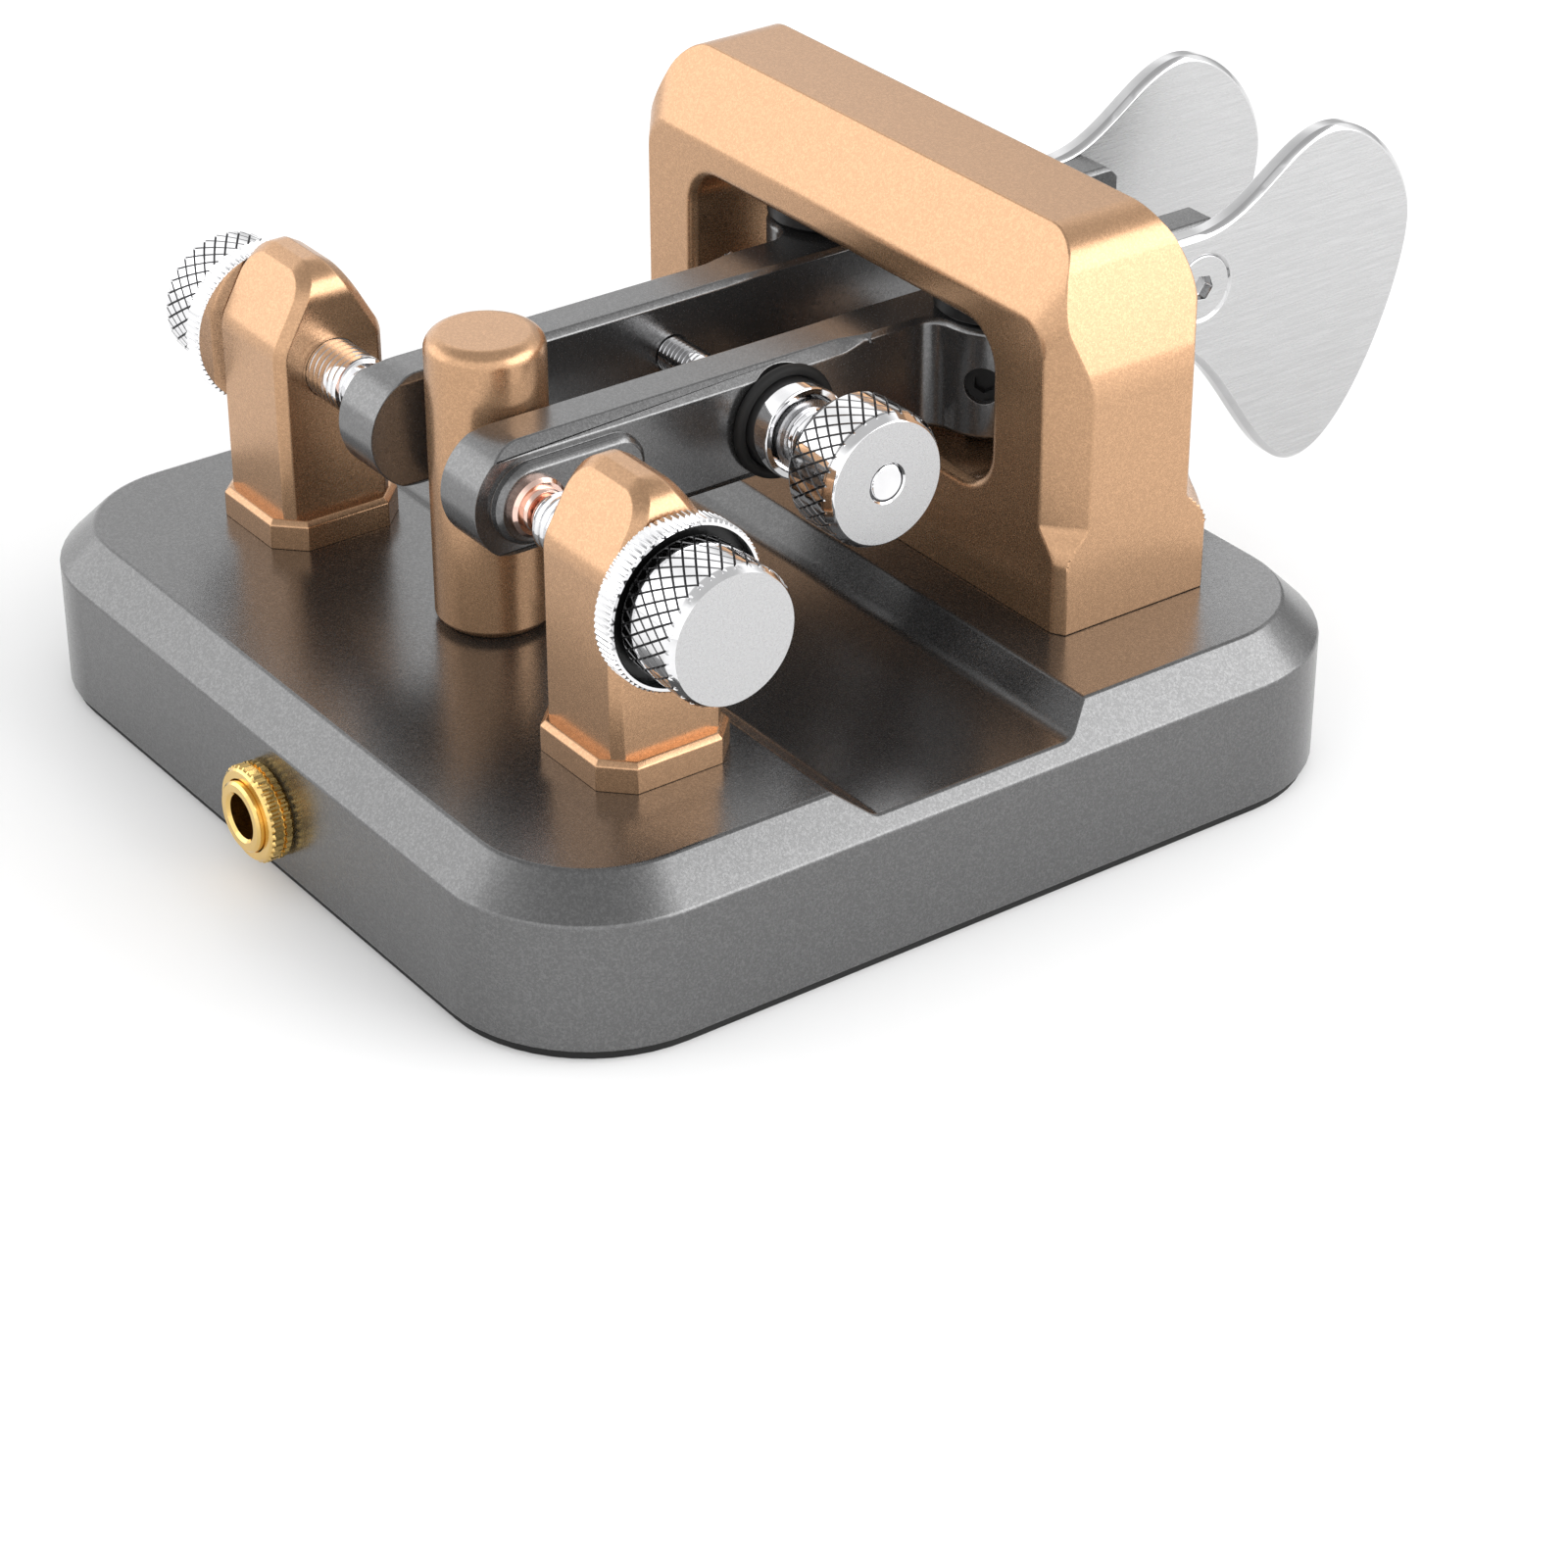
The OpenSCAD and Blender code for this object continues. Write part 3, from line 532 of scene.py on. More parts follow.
# half widths of a contact post, where its slopes start, the half width of its flat top
POST_HX, POST_HY, SLOPES_Z, CREST = 4.8, 4.9, 31.4, 1.4
POST_FACET = 0.75
FOOT_W, FOOT_D, FOOT_C, FOOT_T = 11.7, 11.9, 2.2, 2.5
from_front = rounded([(-POST_HX - POST_X, TOP, 0), (POST_HX - POST_X, TOP, 0),
                      (POST_HX - POST_X, POST_TOP, 2.9), (-POST_HX - POST_X, POST_TOP, 2.9)], 6)
from_side = rounded([(CON_Y - POST_HY, TOP, 0), (CON_Y + POST_HY, TOP, 0),
                     (CON_Y + POST_HY, SLOPES_Z, 3.2), (CON_Y + CREST, POST_TOP, 0),
                     (CON_Y - CREST, POST_TOP, 0), (CON_Y - POST_HY, SLOPES_Z, 3.2)], 4)
post = both(prism("y", from_front, [(CON_Y - 10, 0), (CON_Y + 10, 0)]),
            prism("x", from_side, [(-POST_X - 10, 0), (-POST_X + 10, 0)]))
tidy(post)
bm = bmesh.new()
bm.from_mesh(post.data)
rim = []  # the edges between the faces along Y and those across it
for e in bm.edges:
    if len(e.link_faces) == 2:
        a, b = sorted((f.normal for f in e.link_faces), key=lambda n: abs(n.y))
        if abs(a.y) < 0.02 and a.z > -0.5 and abs(b.y) > 0.3 and abs(b.x) < 0.02:
            rim.append(e)
bmesh.ops.bevel(bm, geom=rim, offset=POST_FACET, segments=1, affect="EDGES",
                clamp_overlap=False)
bm.to_mesh(post.data)
bm.free()
rounds(post, 0.13, 2, 24)
foot = [(x - POST_X, y + CON_Y) for x, y in cut_rect(FOOT_W, FOOT_D, FOOT_C)]
add(post, rounds(prism("z", foot, [(TOP, 0), (TOP + FOOT_T - 0.4, 0), (TOP + FOOT_T, 0.4)]),
                 0.1, 2, 24))
THREAD_R = SCREW_R + 0.04
cut(post, grid("x", (CON_Y, AXIS_Z), [(-POST_X - 8, THREAD_R), (-POST_X + 8, THREAD_R)], 64),
    grid("z", (-POST_X, CON_Y), [(TOP - 1, M3_R), (TOP + 7, M3_R)], 40))
tidy(post)
twin = mirror(post)
piece(post, "contact_post_left_v", "base", "anodised_rose", ["contact_post_left"], ROSE)
piece(twin, "contact_post_right_v", "base", "anodised_rose", ["contact_post_right"], ROSE)


# ---------- socket ----------
def straight_knurl(axis, centre, w0, w1, r, teeth, depth, chamfer, tail, waist=None):
    """A straight-knurled ring, closed through the tail rows inside; waist is the place of a
    groove round it."""
    wave = np.array([r - depth, r - depth, r, r] * teeth)
    low, half = min(r - depth, r - chamfer), np.minimum(wave, r - chamfer / 2)
    rows = [(w0, low), (w0 + chamfer / 2, half), (w0 + chamfer, wave)]
    if waist:
        floor_r = r - depth - 0.1
        rows += [(waist - 0.15, wave), (waist - 0.1, floor_r), (waist + 0.1, floor_r),
                 (waist + 0.15, wave)]
    rows += [(w1 - chamfer, wave), (w1 - chamfer / 2, half), (w1, low)]
    return grid(axis, centre, rows + tail, teeth * 4, closed=True)


WALL_Y = BASE_D / 2
PANEL_R, PANEL_T, BARREL_R, BARREL_END, PLUG_R = 3.9, 2.1, 2.84, WALL_Y + 2.65, 1.8
nut = straight_knurl("y", (JACK_X, JACK_Z), WALL_Y, WALL_Y + PANEL_T, PANEL_R, 36, 0.2, 0.35,
                     [(WALL_Y + PANEL_T, BARREL_R + 0.11),
                      (WALL_Y + PANEL_T - 0.15, BARREL_R + 0.03), (WALL_Y, BARREL_R + 0.03)],
                     WALL_Y + 0.9)
piece(nut, "jack_nut_v", "base", "gold", ["jack_nut"], GOLD, sharp=25)
barrel = grid("y", (JACK_X, JACK_Z), [
    (JACK_WALL - 1, PLUG_R), (JACK_WALL - 1, BARREL_R), (BARREL_END - 0.2, BARREL_R),
    (BARREL_END, BARREL_R - 0.2), (BARREL_END, PLUG_R + 0.25), (BARREL_END - 0.25, PLUG_R)],
    72, closed=True)
piece(barrel, "jack_barrel", "base", "gold", ["jack_body"], GOLD)
HOUSE_R = 3.6
house = add(block(JACK_X - HOUSE_R, JACK_X + HOUSE_R, JACK_BACK, JACK_WALL - 1,
                  JACK_Z - 3.8, JACK_Z),
            grid("y", (JACK_X, JACK_Z), [(JACK_BACK, HOUSE_R), (JACK_WALL - 1, HOUSE_R)], 48))
cut(house, grid("y", (JACK_X, JACK_Z), [(JACK_BACK + 1.5, PLUG_R), (JACK_WALL + 2, PLUG_R)], 48),
    *[block(JACK_X + x - 0.4, JACK_X + x + 0.4, JACK_BACK - 1, JACK_BACK + 9,
            JACK_Z - 3.3, JACK_Z - 2.0) for x in (-2.2, 2.2)])
rounds(house, 0.12)
piece(house, "jack_housing", "base", "black_plastic", ["jack_body"], BLACK)

# ---------- levers ----------
JOIN_Y = -11.5  # where the hub's outline runs into the bar
EDGE_C = 0.4    # the bevel of most edges of a lever
PAD_R, PAD_Y = 3.3, 10.1
SEAT_R, SEAT_T = 3.5, 2.7


def fillet(out):
    """For the fillet between the hub and the face at -out: how far its centre is from the
    pivot along Y, and its direction seen from the pivot, in degrees."""
    reach = out + HUB_FILLET - PIV_X
    y = math.sqrt((HUB_R + HUB_FILLET) ** 2 - reach ** 2)
    return y, math.degrees(math.atan2(y, reach))


rear_y, rear_a = fillet(ARM_OUT)
front_y, front_a = fillet(FRONT_OUT)
hub_plan = [(-ARM_IN, FRONT_END - 1), (-ARM_IN, JOIN_Y), (-ARM_OUT, JOIN_Y)]
hub_plan += arc(-ARM_OUT - HUB_FILLET, BR_Y + rear_y, HUB_FILLET, 0, -rear_a)
hub_plan += arc(-PIV_X, BR_Y, HUB_R, 180 - rear_a, 180 + front_a, 5)[1:-1]
hub_plan += arc(-FRONT_OUT - HUB_FILLET, BR_Y - front_y, HUB_FILLET, front_a, 0)
hub_plan += [(-FRONT_OUT, FRONT_END - 1)]


def bar_ring(y, co, ci):
    """A section of the bar at y; co and ci are the bevels of its outer and inner edges."""
    x0, x1 = -ARM_OUT, -ARM_IN
    return [(x0, y, ARM_LO + co), (x0 + co, y, ARM_LO), (x1 - ci, y, ARM_LO),
            (x1, y, ARM_LO + ci), (x1, y, ARM_HI - ci), (x1 - ci, y, ARM_HI),
            (x0 + co, y, ARM_HI), (x0, y, ARM_HI - co)]


def lever():
    """The left lever: hub, bar and contact pad, with the holes that both levers have."""
    body = prism("z", hub_plan, [(ARM_LO, EDGE_C), (ARM_LO + EDGE_C, 0), (ARM_HI - EDGE_C, 0),
                                 (ARM_HI, EDGE_C)])
    add(body, loft([bar_ring(*row) for row in (
        (30, 0.95, 0.5), (-8.5, 0.95, 0.5), (-9.2, 0.9, 0.48), (-10.2, 0.62, 0.44),
        (-11.0, 0.43, EDGE_C), (-13.5, EDGE_C, EDGE_C))]))
    outline = arc(CON_Y, AXIS_Z, ARM_H / 2, -90, 90, 4.5)
    outline += [(FRONT_END + 1, ARM_HI), (FRONT_END, ARM_HI - 1), (FRONT_END, ARM_LO + 1),
                (FRONT_END + 1, ARM_LO)]
    both(body, prism("x", outline, [(-30, 0), (0, 0)]))
    boss = arc(CON_Y, AXIS_Z, PAD_R, -90, 90, 6) + rounded(
        [(PAD_Y, AXIS_Z + PAD_R, 2.5), (PAD_Y, AXIS_Z - PAD_R, 2.5),
         (CON_Y, AXIS_Z - PAD_R, 0), (CON_Y, AXIS_Z + PAD_R, 0)], 8)[:-2]
    add(body, prism("x", boss, [(-ARM_OUT + 0.5, 0), (-BOSS_OUT + EDGE_C, 0),
                                (-BOSS_OUT, EDGE_C)]))
    cut(body, grid("z", (-PIV_X, BR_Y), [
        (ARM_LO - 1, SEAT_R), (ARM_LO + SEAT_T, SEAT_R), (ARM_LO + SEAT_T, SEAT_R - 0.6),
        (ARM_HI - SEAT_T, SEAT_R - 0.6), (ARM_HI - SEAT_T, SEAT_R), (ARM_HI + 1, SEAT_R)], 64))
    hole = grid("z", (0, 0), [(2, M3_R), (6.5, M3_R)], 40)
    hole.rotation_euler = (0, math.radians(90), math.radians(130))
    hole.location = (-PIV_X, BR_Y, AXIS_Z)
    bpy.context.view_layer.update()
    cut(body, hole)
    cut(body, grid("x", (CON_Y, AXIS_Z), [(-BOSS_OUT - 1, 1.0), (-ARM_IN - 1.2, 1.0)], 32),
        *[grid("x", (y, AXIS_Z), [(-FRONT_OUT - 1, 1.25), (-ARM_IN - 0.3, 1.25)], 32)
          for y in PLATE_SCREWS])
    return body


left = lever()
right = mirror(left)
cut(left, grid("x", (TEN_Y, AXIS_Z), [(-20, 4.4), (-SEAT_X + 1.3, 4.4), (-SEAT_X + 1.3, 2.2),
                                      (0, 2.2)], 64))
cut(right, grid("x", (TEN_Y, AXIS_Z), [(0, PIN_R + 0.04), (20, PIN_R + 0.04)], 48))
for obj, side in ((left, "left"), (right, "right")):
    rounds(obj, 0.12, 2, 28)
    piece(obj, "lever_%s_v" % side, "lever_%s_body" % side, "anodised_grey", ["lever_" + side],
          ARM_PAINTED_FILL)


def pair(obj, name, body, slot, node, *mats, half_turn=False, **more):
    """The left piece and its twin on the right; * stands for left or right in a name."""
    twin = mirror(obj, (-1, -1, 1), (0, 2 * CON_Y, 0)) if half_turn else mirror(obj)
    test = more.get("inside")
    for one, side in ((obj, "left"), (twin, "right")):
        if test and side == "right":
            more["inside"] = lambda c, n: test(Vector((-c.x, c.y, c.z)),
                                               Vector((-n.x, n.y, n.z)))
        piece(one, "%s_%s_v" % (name, side), body.replace("*", side), slot,
              [node.replace("*", side)], *mats, **more)


button = grid("x", (CON_Y, AXIS_Z), [
    (-ARM_IN - 1.4, 0), (-ARM_IN - 1.4, 0.98), (-BOSS_OUT, 0.98), (-BOSS_OUT, 2.4),
    (-BOSS_OUT - 0.42, 2.4), (-BOSS_OUT - 0.7, 2.12), (-BOSS_OUT - 0.7, 1.8),
    (-BUT_OUT + 0.22, 1.8), (-BUT_OUT + 0.06, 1.72), (-BUT_OUT, 1.55), (-BUT_OUT, 0)], 64)
pair(button, "contact_button", "lever_*_body", "contact_copper", "contact_button_*", COPPER)
tip = grid("x", (CON_Y, AXIS_Z), [
    (-TIP_IN, 0), (-TIP_IN, 1.55), (-TIP_IN - 0.06, 1.72), (-TIP_IN - 0.22, 1.8),
    (-TIP_IN - 0.5, 1.8), (-TIP_IN - 0.5, 0.95), (-TIP_IN - 3, 0.95), (-TIP_IN - 3, 0)], 64)
pair(tip, "contact_tip", "tip_*", "contact_copper", "contact_tip_*", COPPER)


# ---------- threads and knurls ----------
def thread(centre, x0, x1, r, pitch, depth, before, after, n=48):
    """A right-handed thread along X between x0 and x1 with its ends chamfered.
    before and after are plain rings (place, radius) beyond its two ends."""
    turns = math.ceil((x1 - x0) / pitch) + 2
    core = r - depth
    shape = [(0.0, r), (0.60, r), (0.72, core), (0.88, core)]
    rise = np.arange(n) * pitch / n
    rows = list(before)
    for k in range(turns):
        for f, rr in shape:
            x = x0 - pitch + pitch * (k + f) + rise
            ends = core + 1.2 * np.minimum(x - x0, x1 - x)
            rows.append((np.clip(x, x0, x1), np.maximum(core, np.minimum(rr, ends))))
    rows += after
    phi = np.arange(n) * 2 * math.pi / n
    verts, faces = [], []
    for w, rr in rows:
        w, rr = np.broadcast_to(w, n), np.broadcast_to(rr, n)
        verts += [(w[i], centre[0] + rr[i] * math.cos(phi[i]), centre[1] + rr[i] * math.sin(phi[i]))
                  for i in range(n)]
    first, last = len(before), len(before) + turns * len(shape)

    def seam(j):
        """The row that the last column meets: one turn of the thread further on."""
        return min(j + len(shape), last - 1) if first <= j < last else j

    for j in range(len(rows) - 1):
        for i in range(n):
            if i < n - 1:
                a, b = j * n + i + 1, (j + 1) * n + i + 1
            else:
                a, b = seam(j) * n, seam(j + 1) * n
            faces.append((j * n + i, a, b, (j + 1) * n + i))
    for row in (0, len(rows) - 1):
        if rows[row][1] > 1e-6:
            faces.append(tuple(range(row * n, row * n + n)))
    return make(verts, faces)


NECK_IN = TIP_IN + 0.55
screw = thread((CON_Y, AXIS_Z), -NUT_FLOOR - 0.2, -TIP_IN - 1.0, SCREW_R, 0.7, 0.3,
               [(-KNOB_END + 1.5, 0.0), (-KNOB_END + 1.5, 2.0), (-NUT_FLOOR - 0.2, 2.0)],
               [(-TIP_IN - 1.0, 2.0), (-NECK_IN - 0.07, 2.0), (-NECK_IN, 1.93), (-NECK_IN, 1.0),
                (-TIP_IN - 3.2, 1.0), (-TIP_IN - 3.2, 0.0)])
pair(screw, "contact_screw", "screw_*", "chrome", "contact_screw_*", CHROME, half_turn=True,
     sharp=30)


def diamond_knurl(centre, w0, w1, r, starts, pitch, depth, back, front, before, after):
    """A diamond-knurled sleeve along -X from w0 to w1 (distances from the middle plane).
    back and front are the end chamfers (length, drop); before and after are plain rings."""
    k = 10  # cells of the mesh from one groove to the next
    m = int(round((w1 - w0) / (pitch / k)))
    n = starts * k
    i = np.arange(n)
    rows = [(-w, rr) for w, rr in before]
    for j in range(m + 1):
        w = w0 + (w1 - w0) * j / m
        groove = ((i + j) % k == 0) | ((i - j) % k == 0)
        rr = np.where(groove, r - depth, r)
        limit = min(r - back[1] + (w - w0) * back[1] / back[0],
                    r - front[1] + (w1 - w) * front[1] / front[0])
        rows.append((-w, np.minimum(rr, limit)))
    rows += [(-w, rr) for w, rr in after]
    skip = len(before)

    def split(i, j):
        """Cells beside a groove are cut along it."""
        j -= skip
        if not 0 <= j < m:
            return 0
        anti, main = (i + 1 + j) % k, (i - j) % k
        if anti == 0 or (anti in (1, k - 1) and main != 0):
            return -1
        return 1

    return grid("x", centre, rows, n, split=split)


def knob_part(centre, r, end, start):
    """Satin on the end face, painted shade in the grooves (a darker metal colour there), plating
    elsewhere.
    """
    def part(c, n):
        if c.x < 0.01 - end:
            return 1
        out = math.hypot(c.y - centre[0], c.z - centre[1])
        # faces down in the grooves take the dark colour: painted shade
        groove_shade = out < r - 0.04 and start + 0.3 < -c.x < end - 0.75
        return 2 if groove_shade else 0
    return part


KNOB_START = NUT_FLOOR + 0.35
KNURL_DEPTH = 0.17
knob = diamond_knurl((CON_Y, AXIS_Z), KNOB_START, KNOB_END - 0.08, KNOB_R, 32, 1.62,
                     KNURL_DEPTH, (0.4, 0.3), (0.6, 0.34),
                     [(KNOB_START + 3, 0.0), (KNOB_START + 3, 2.02), (KNOB_START, 2.02),
                      (KNOB_START, KNOB_R - 0.3)],
                     [(KNOB_END, KNOB_R - 0.4), (KNOB_END, 2.6), (KNOB_END, 0.0)])
pair(knob, "contact_knob", "screw_*", "chrome", "contact_knob_*", CHROME, FACE, GROOVE_SHADE,
     half_turn=True, sharp=24,
     inside=knob_part((CON_Y, AXIS_Z), KNOB_R, KNOB_END, KNOB_START))

NUT_IN, NUT_END = POST_OUT + 0.15, POST_OUT + 2.15
lock = straight_knurl("x", (CON_Y, AXIS_Z), -NUT_END, -NUT_IN, NUT_R, 80, 0.2, 0.16,
                      [(-NUT_IN, SCREW_R + 0.2), (-NUT_IN - 0.15, THREAD_R),
                       (-NUT_FLOOR, THREAD_R), (-NUT_FLOOR, RECESS_R),
                       (-NUT_END + 0.12, RECESS_R), (-NUT_END, RECESS_R + 0.12)])


def in_recess(c, n):
    return c.x < -NUT_FLOOR + 0.05 and math.hypot(c.y - CON_Y, c.z - AXIS_Z) < RECESS_R + 0.1


# the recess inside each lock nut takes the black colour: painted shade
pair(lock, "lock_nut", "nut_*", "chrome", "lock_nut_*", CHROME, OXIDE_AND_SHADE, sharp=24,
     inside=in_recess)

# ---------- finger plates ----------
# (Y, Z) of the outline's top, end and bottom, and of the neck's corners above and below
NECK_HI, NECK_LO, NECK_END = 33.9, 24.2, -32.4
TOP_P, END_P, LOW_P = (-58.6, 40.0), (-68.3, 29.5), (-56.9, 10.1)
N_HI, N_LO = (-44.5, NECK_HI), (-41.6, NECK_LO)
PLATE_C, HEAD_R, SHANK_R, HEX_R = 0.45, 2.8, 1.2, 1.15
leaf = [(NECK_END, NECK_LO + 0.8), (NECK_END, NECK_HI - 0.8), (NECK_END - 0.8, NECK_HI)]
leaf += bezier(N_HI, (N_HI[0] - 6, N_HI[1]), (TOP_P[0] + 5, TOP_P[1]), TOP_P, 24)
leaf += bezier(TOP_P, (TOP_P[0] - 4.6, TOP_P[1]), (END_P[0], END_P[1] + 4.6), END_P, 24)
leaf += bezier(END_P, (END_P[0], END_P[1] - 6), (LOW_P[0] - 5.6, LOW_P[1]), LOW_P, 28)
leaf += bezier(LOW_P, (LOW_P[0] + 5.6, LOW_P[1]), (N_LO[0] - 6, N_LO[1] - 0.6), N_LO, 28)
leaf += [N_LO, (NECK_END - 0.8, NECK_LO)]
plate = prism("x", leaf, [(-FRONT_OUT, PLATE_C), (-FRONT_OUT - PLATE_C, 0),
                          (-PLATE_OUT + PLATE_C, 0), (-PLATE_OUT, PLATE_C)])
for y in PLATE_SCREWS:
    cut(plate, grid("x", (y, AXIS_Z), [
        (-FRONT_OUT + 1, M3_R), (-PLATE_OUT + 1.4, M3_R), (-PLATE_OUT, HEAD_R + 0.25),
        (-PLATE_OUT - 1, HEAD_R + 0.25)], 64))
rounds(plate, 0.09, 2, 30)
# flat faces are brushed; the rims take the dark bevel colour, a painted dark reflection
pair(plate, "finger_plate", "lever_*_body", "plate_steel", "finger_plate_*", BEVEL, PLATE,
     sharp=35, inside=lambda c, n: abs(n.x) > 0.99)

HEAD_X = PLATE_OUT - 0.04
heads = None
for y in PLATE_SCREWS:
    one = grid("x", (y, AXIS_Z), [
        (-HEAD_X, 0), (-HEAD_X, HEAD_R - 0.12), (-HEAD_X + 0.07, HEAD_R), (-HEAD_X + 0.2, HEAD_R),
        (-HEAD_X + 1.42, 1.4), (-FRONT_OUT, 1.4), (-FRONT_OUT, SHANK_R),
        (-ARM_IN - 0.6, SHANK_R), (-ARM_IN - 0.6, 0)], 64)
    cut(one, grid("x", (y, AXIS_Z), [(-HEAD_X - 1, HEX_R), (-HEAD_X + 0.95, HEX_R),
                                     (-HEAD_X + 1.2, 0)], 6, turn=math.radians(8)))
    heads = add(heads, one) if heads else one
rounds(heads, 0.06, 2, 35)
# head tops are brushed; edges and sockets take the dark bevel colour, painted reflection and shade
pair(heads, "finger_screws", "lever_*_body", "chrome", "finger_screws_*", BEVEL, PLATE,
     sharp=35, inside=lambda c, n: n.x < -0.99 and c.x < -PLATE_OUT + 0.1)

# ---------- tension adjuster ----------
mid = (TEN_Y, AXIS_Z)
RING_R, CUP_BORE, CUP_FLOOR = 0.45, 3.2, SEAT_X + 0.8
ring = grid("x", mid, [(-ARM_OUT - RING_R - a, CUP_R + RING_R + b)
                       for a, b in arc(0, 0, RING_R, 0, 360 - 15, 15)], 96, closed=True)
piece(ring, "tension_ring_v", "lever_left_body", "ring_rubber", ["tension_ring"], RUBBER)
cup = grid("x", mid, [
    (-SEAT_X, 2.4), (-SEAT_X, CUP_R), (-CUP_END + 0.16, CUP_R), (-CUP_END + 0.05, CUP_R - 0.05),
    (-CUP_END, CUP_R - 0.14), (-CUP_END, CUP_BORE + 0.06), (-CUP_END + 0.06, CUP_BORE),
    (-CUP_FLOOR, CUP_BORE), (-CUP_FLOOR, 2.4)], 96, closed=True)
piece(cup, "tension_cup_v", "lever_left_body", "chrome", ["tension_cup"], CHROME, sharp=28)

WIRE, COIL_R, TURNS = 0.33, 2.36, 3.6
COIL_START = CUP_FLOOR + WIRE + 0.02
COIL_L = CUP_END - 0.7 - CUP_FLOOR - 2 * WIRE - 0.04
ALONG, ROUND = 150, 10
verts, faces = [], []
for j in range(ALONG + 1):
    t = j / ALONG
    ang = t * TURNS * 2 * math.pi
    for i in range(ROUND):
        b = 2 * math.pi * i / ROUND
        rr = COIL_R + WIRE * math.cos(b)
        verts.append((-COIL_START - t * COIL_L + WIRE * math.sin(b),
                      TEN_Y + rr * math.cos(ang), AXIS_Z + rr * math.sin(ang)))
for j in range(ALONG):
    a, b = j * ROUND, (j + 1) * ROUND
    faces += [(a + i, a + (i + 1) % ROUND, b + (i + 1) % ROUND, b + i) for i in range(ROUND)]
faces += [tuple(range(ROUND)), tuple(range(ALONG * ROUND, (ALONG + 1) * ROUND))]
piece(make(verts, faces), "tension_spring_v", "lever_left_body", "steel", ["tension_spring"],
      STEEL)

rod = thread(mid, -KNOB_FACE + 0.03, ARM_OUT - 0.7, PIN_R, 0.5, 0.2,
             [(-KNOB_FACE + 0.03, 0.0)], [(ARM_OUT - 0.7, 0.0)], n=36)
piece(rod, "tension_rod_v", "tension_screw", "chrome", ["tension_rod"], CHROME, sharp=30)
neck = [(KNOB_BACK + 2, PIN_R), (CUP_END + 0.25, PIN_R), (CUP_END + 0.25, NECK_R - 0.2),
        (CUP_END + 0.45, NECK_R)]
for k in range(7):
    w = CUP_END + 0.8 + 0.5 * k
    neck += [(w, NECK_R), (w + 0.12, NECK_R - 0.2), (w + 0.24, NECK_R)]
ROD_HOLE_R = PIN_R + 0.04
knob = diamond_knurl(mid, KNOB_BACK, KNOB_FACE - 0.08, TEN_R, 30, 1.66, KNURL_DEPTH,
                     (0.8, 0.5), (0.8, 0.45),
                     neck + [(KNOB_BACK, NECK_R), (KNOB_BACK, TEN_R - 0.5)],
                     [(KNOB_FACE, TEN_R - 0.55), (KNOB_FACE, ROD_HOLE_R + 0.14),
                      (KNOB_FACE - 0.12, ROD_HOLE_R), (KNOB_FACE - 3, ROD_HOLE_R)])
piece(knob, "tension_knob_v", "tension_screw", "chrome", ["tension_knob"], CHROME, FACE,
      GROOVE_SHADE, sharp=24, inside=knob_part(mid, TEN_R, KNOB_FACE, KNOB_BACK))

# ---------- CAD nodes that stay ----------
STAYING = [
    (OXIDE_AND_SHADE, "bridge_screws centre_post_screw hub_screw_left hub_screw_right"),
    (STEEL, "post_screws pivot_pins bearing_races bearings_left bearings_right tension_washer"),
    (BLACK, "tension_bush"), (ACETAL, "post_bushes"), (GOLD, "jack_springs"), (RED, "wires")]
for mat, names in STAYING:
    for name in names.split():
        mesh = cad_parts[name].data
        mesh.materials.clear()
        mesh.materials.append(mat)

# ---------- floor, light, camera ----------
FLOOR = 3000.0
floor = make([(-FLOOR, -FLOOR, 0), (FLOOR, -FLOOR, 0), (FLOOR, FLOOR, 0), (-FLOOR, FLOOR, 0)],
             [(0, 1, 2, 3)])
floor.data.transform(Matrix.Scale(MM, 4))
floor.name = "floor"
mat, tree, bsdf = nodes_of("floor")
bsdf.inputs["Specular IOR Level"].default_value = 0.2
paper = noise(tree, scaled(tree), 0.02, 3)
tint(tree, bsdf, (0.955, 0.955, 0.955), paper, 0.99, 1.01)
bsdf.inputs["Roughness"].default_value = 0.7
floor.data.materials.append(mat)

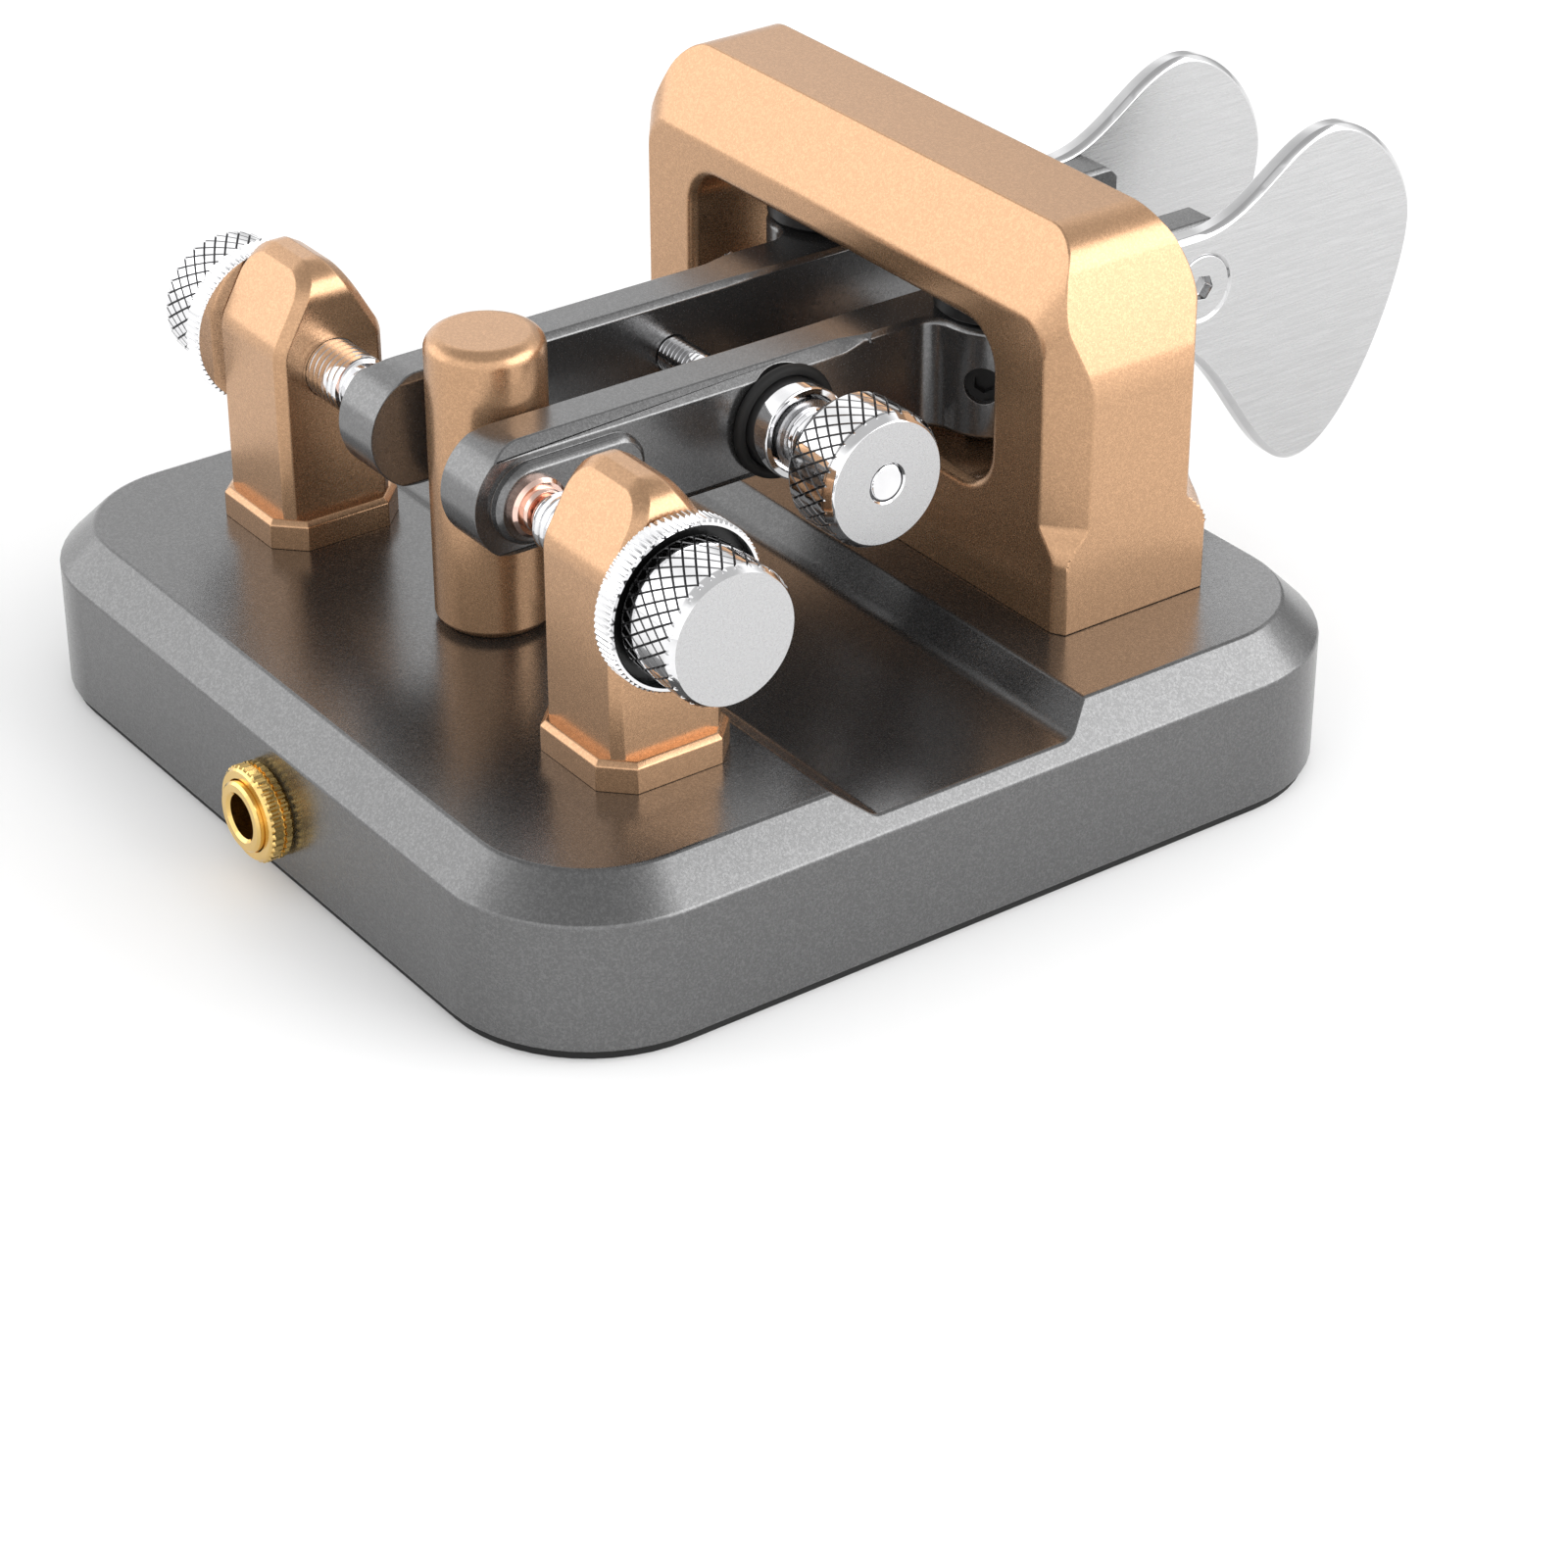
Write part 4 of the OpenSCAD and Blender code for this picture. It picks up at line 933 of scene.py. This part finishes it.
# the studio's grey: darker overhead, and darker beyond the finger plates
scene = bpy.context.scene
scene.view_settings.view_transform = "Standard"
world = bpy.data.worlds.new("studio")
scene.world = world
world.use_nodes = True
tree = world.node_tree
sky = tree.nodes["Background"]
co = tree.nodes.new("ShaderNodeTexCoord")
sep = tree.nodes.new("ShaderNodeSeparateXYZ")
link(tree, co, "Generated", sep, "Vector")
up = spread(tree, sep, "Z", 1.0, 0.42, 0.55, 0.85)
dot = tree.nodes.new("ShaderNodeVectorMath")
dot.operation = "DOT_PRODUCT"
dot.inputs[1].default_value = (0.45, -0.89, 0.0)
link(tree, co, "Generated", dot, 0)
far = spread(tree, dot, "Value", 1.0, 0.45, 0.72, 0.95)
up.interpolation_type = far.interpolation_type = "SMOOTHSTEP"
shade, gain = (tree.nodes.new("ShaderNodeMath") for _ in range(2))
shade.operation = gain.operation = "MULTIPLY"
link(tree, up, "Result", shade, 0)
link(tree, far, "Result", shade, 1)
gain.inputs[1].default_value = 1.5
link(tree, shade, "Value", gain, 0)
link(tree, gain, "Value", sky, "Strength")
sky.inputs["Color"].default_value = (1, 1, 1, 1)


def softbox(name, direction, distance, width, height, radiance):
    """A soft rectangular light that faces the object; radiance as the surfaces see it."""
    data = bpy.data.lights.new(name, "AREA")
    data.shape = "RECTANGLE"
    data.size, data.size_y = width, height
    data.energy = radiance * math.pi * width * height
    obj = bpy.data.objects.new(name, data)
    scene.collection.objects.link(obj)
    d = Vector(direction).normalized()
    obj.location = d * distance + Vector((0, 0, 0.02))
    obj.rotation_mode = "QUATERNION"
    obj.rotation_quaternion = d.to_track_quat("Z", "Y")


softbox("key_right", (-0.75, -0.62, 0.47), 0.60, 0.62, 0.42, 2.8)
softbox("back_left", (0.72, 0.66, 0.36), 0.80, 0.80, 0.50, 0.9)

# the photo's camera; azimuth 0 looks from the finger side and 90 from the right
AZIMUTH, ELEVATION = math.radians(233.9), math.radians(31.06)
away = Vector((math.sin(AZIMUTH) * math.cos(ELEVATION), -math.cos(AZIMUTH) * math.cos(ELEVATION),
               math.sin(ELEVATION)))
cam = bpy.data.objects.new("camera", bpy.data.cameras.new("camera"))
scene.collection.objects.link(cam)
cam.data.sensor_width = 36.0
cam.data.lens = 97.0
cam.data.clip_start, cam.data.clip_end = 0.01, 20.0
cam.location = Vector((-246.1, 169.1, 172.5)) * MM
cam.rotation_mode = "QUATERNION"
cam.rotation_quaternion = (-away).to_track_quat("-Z", "Y")
scene.camera = cam
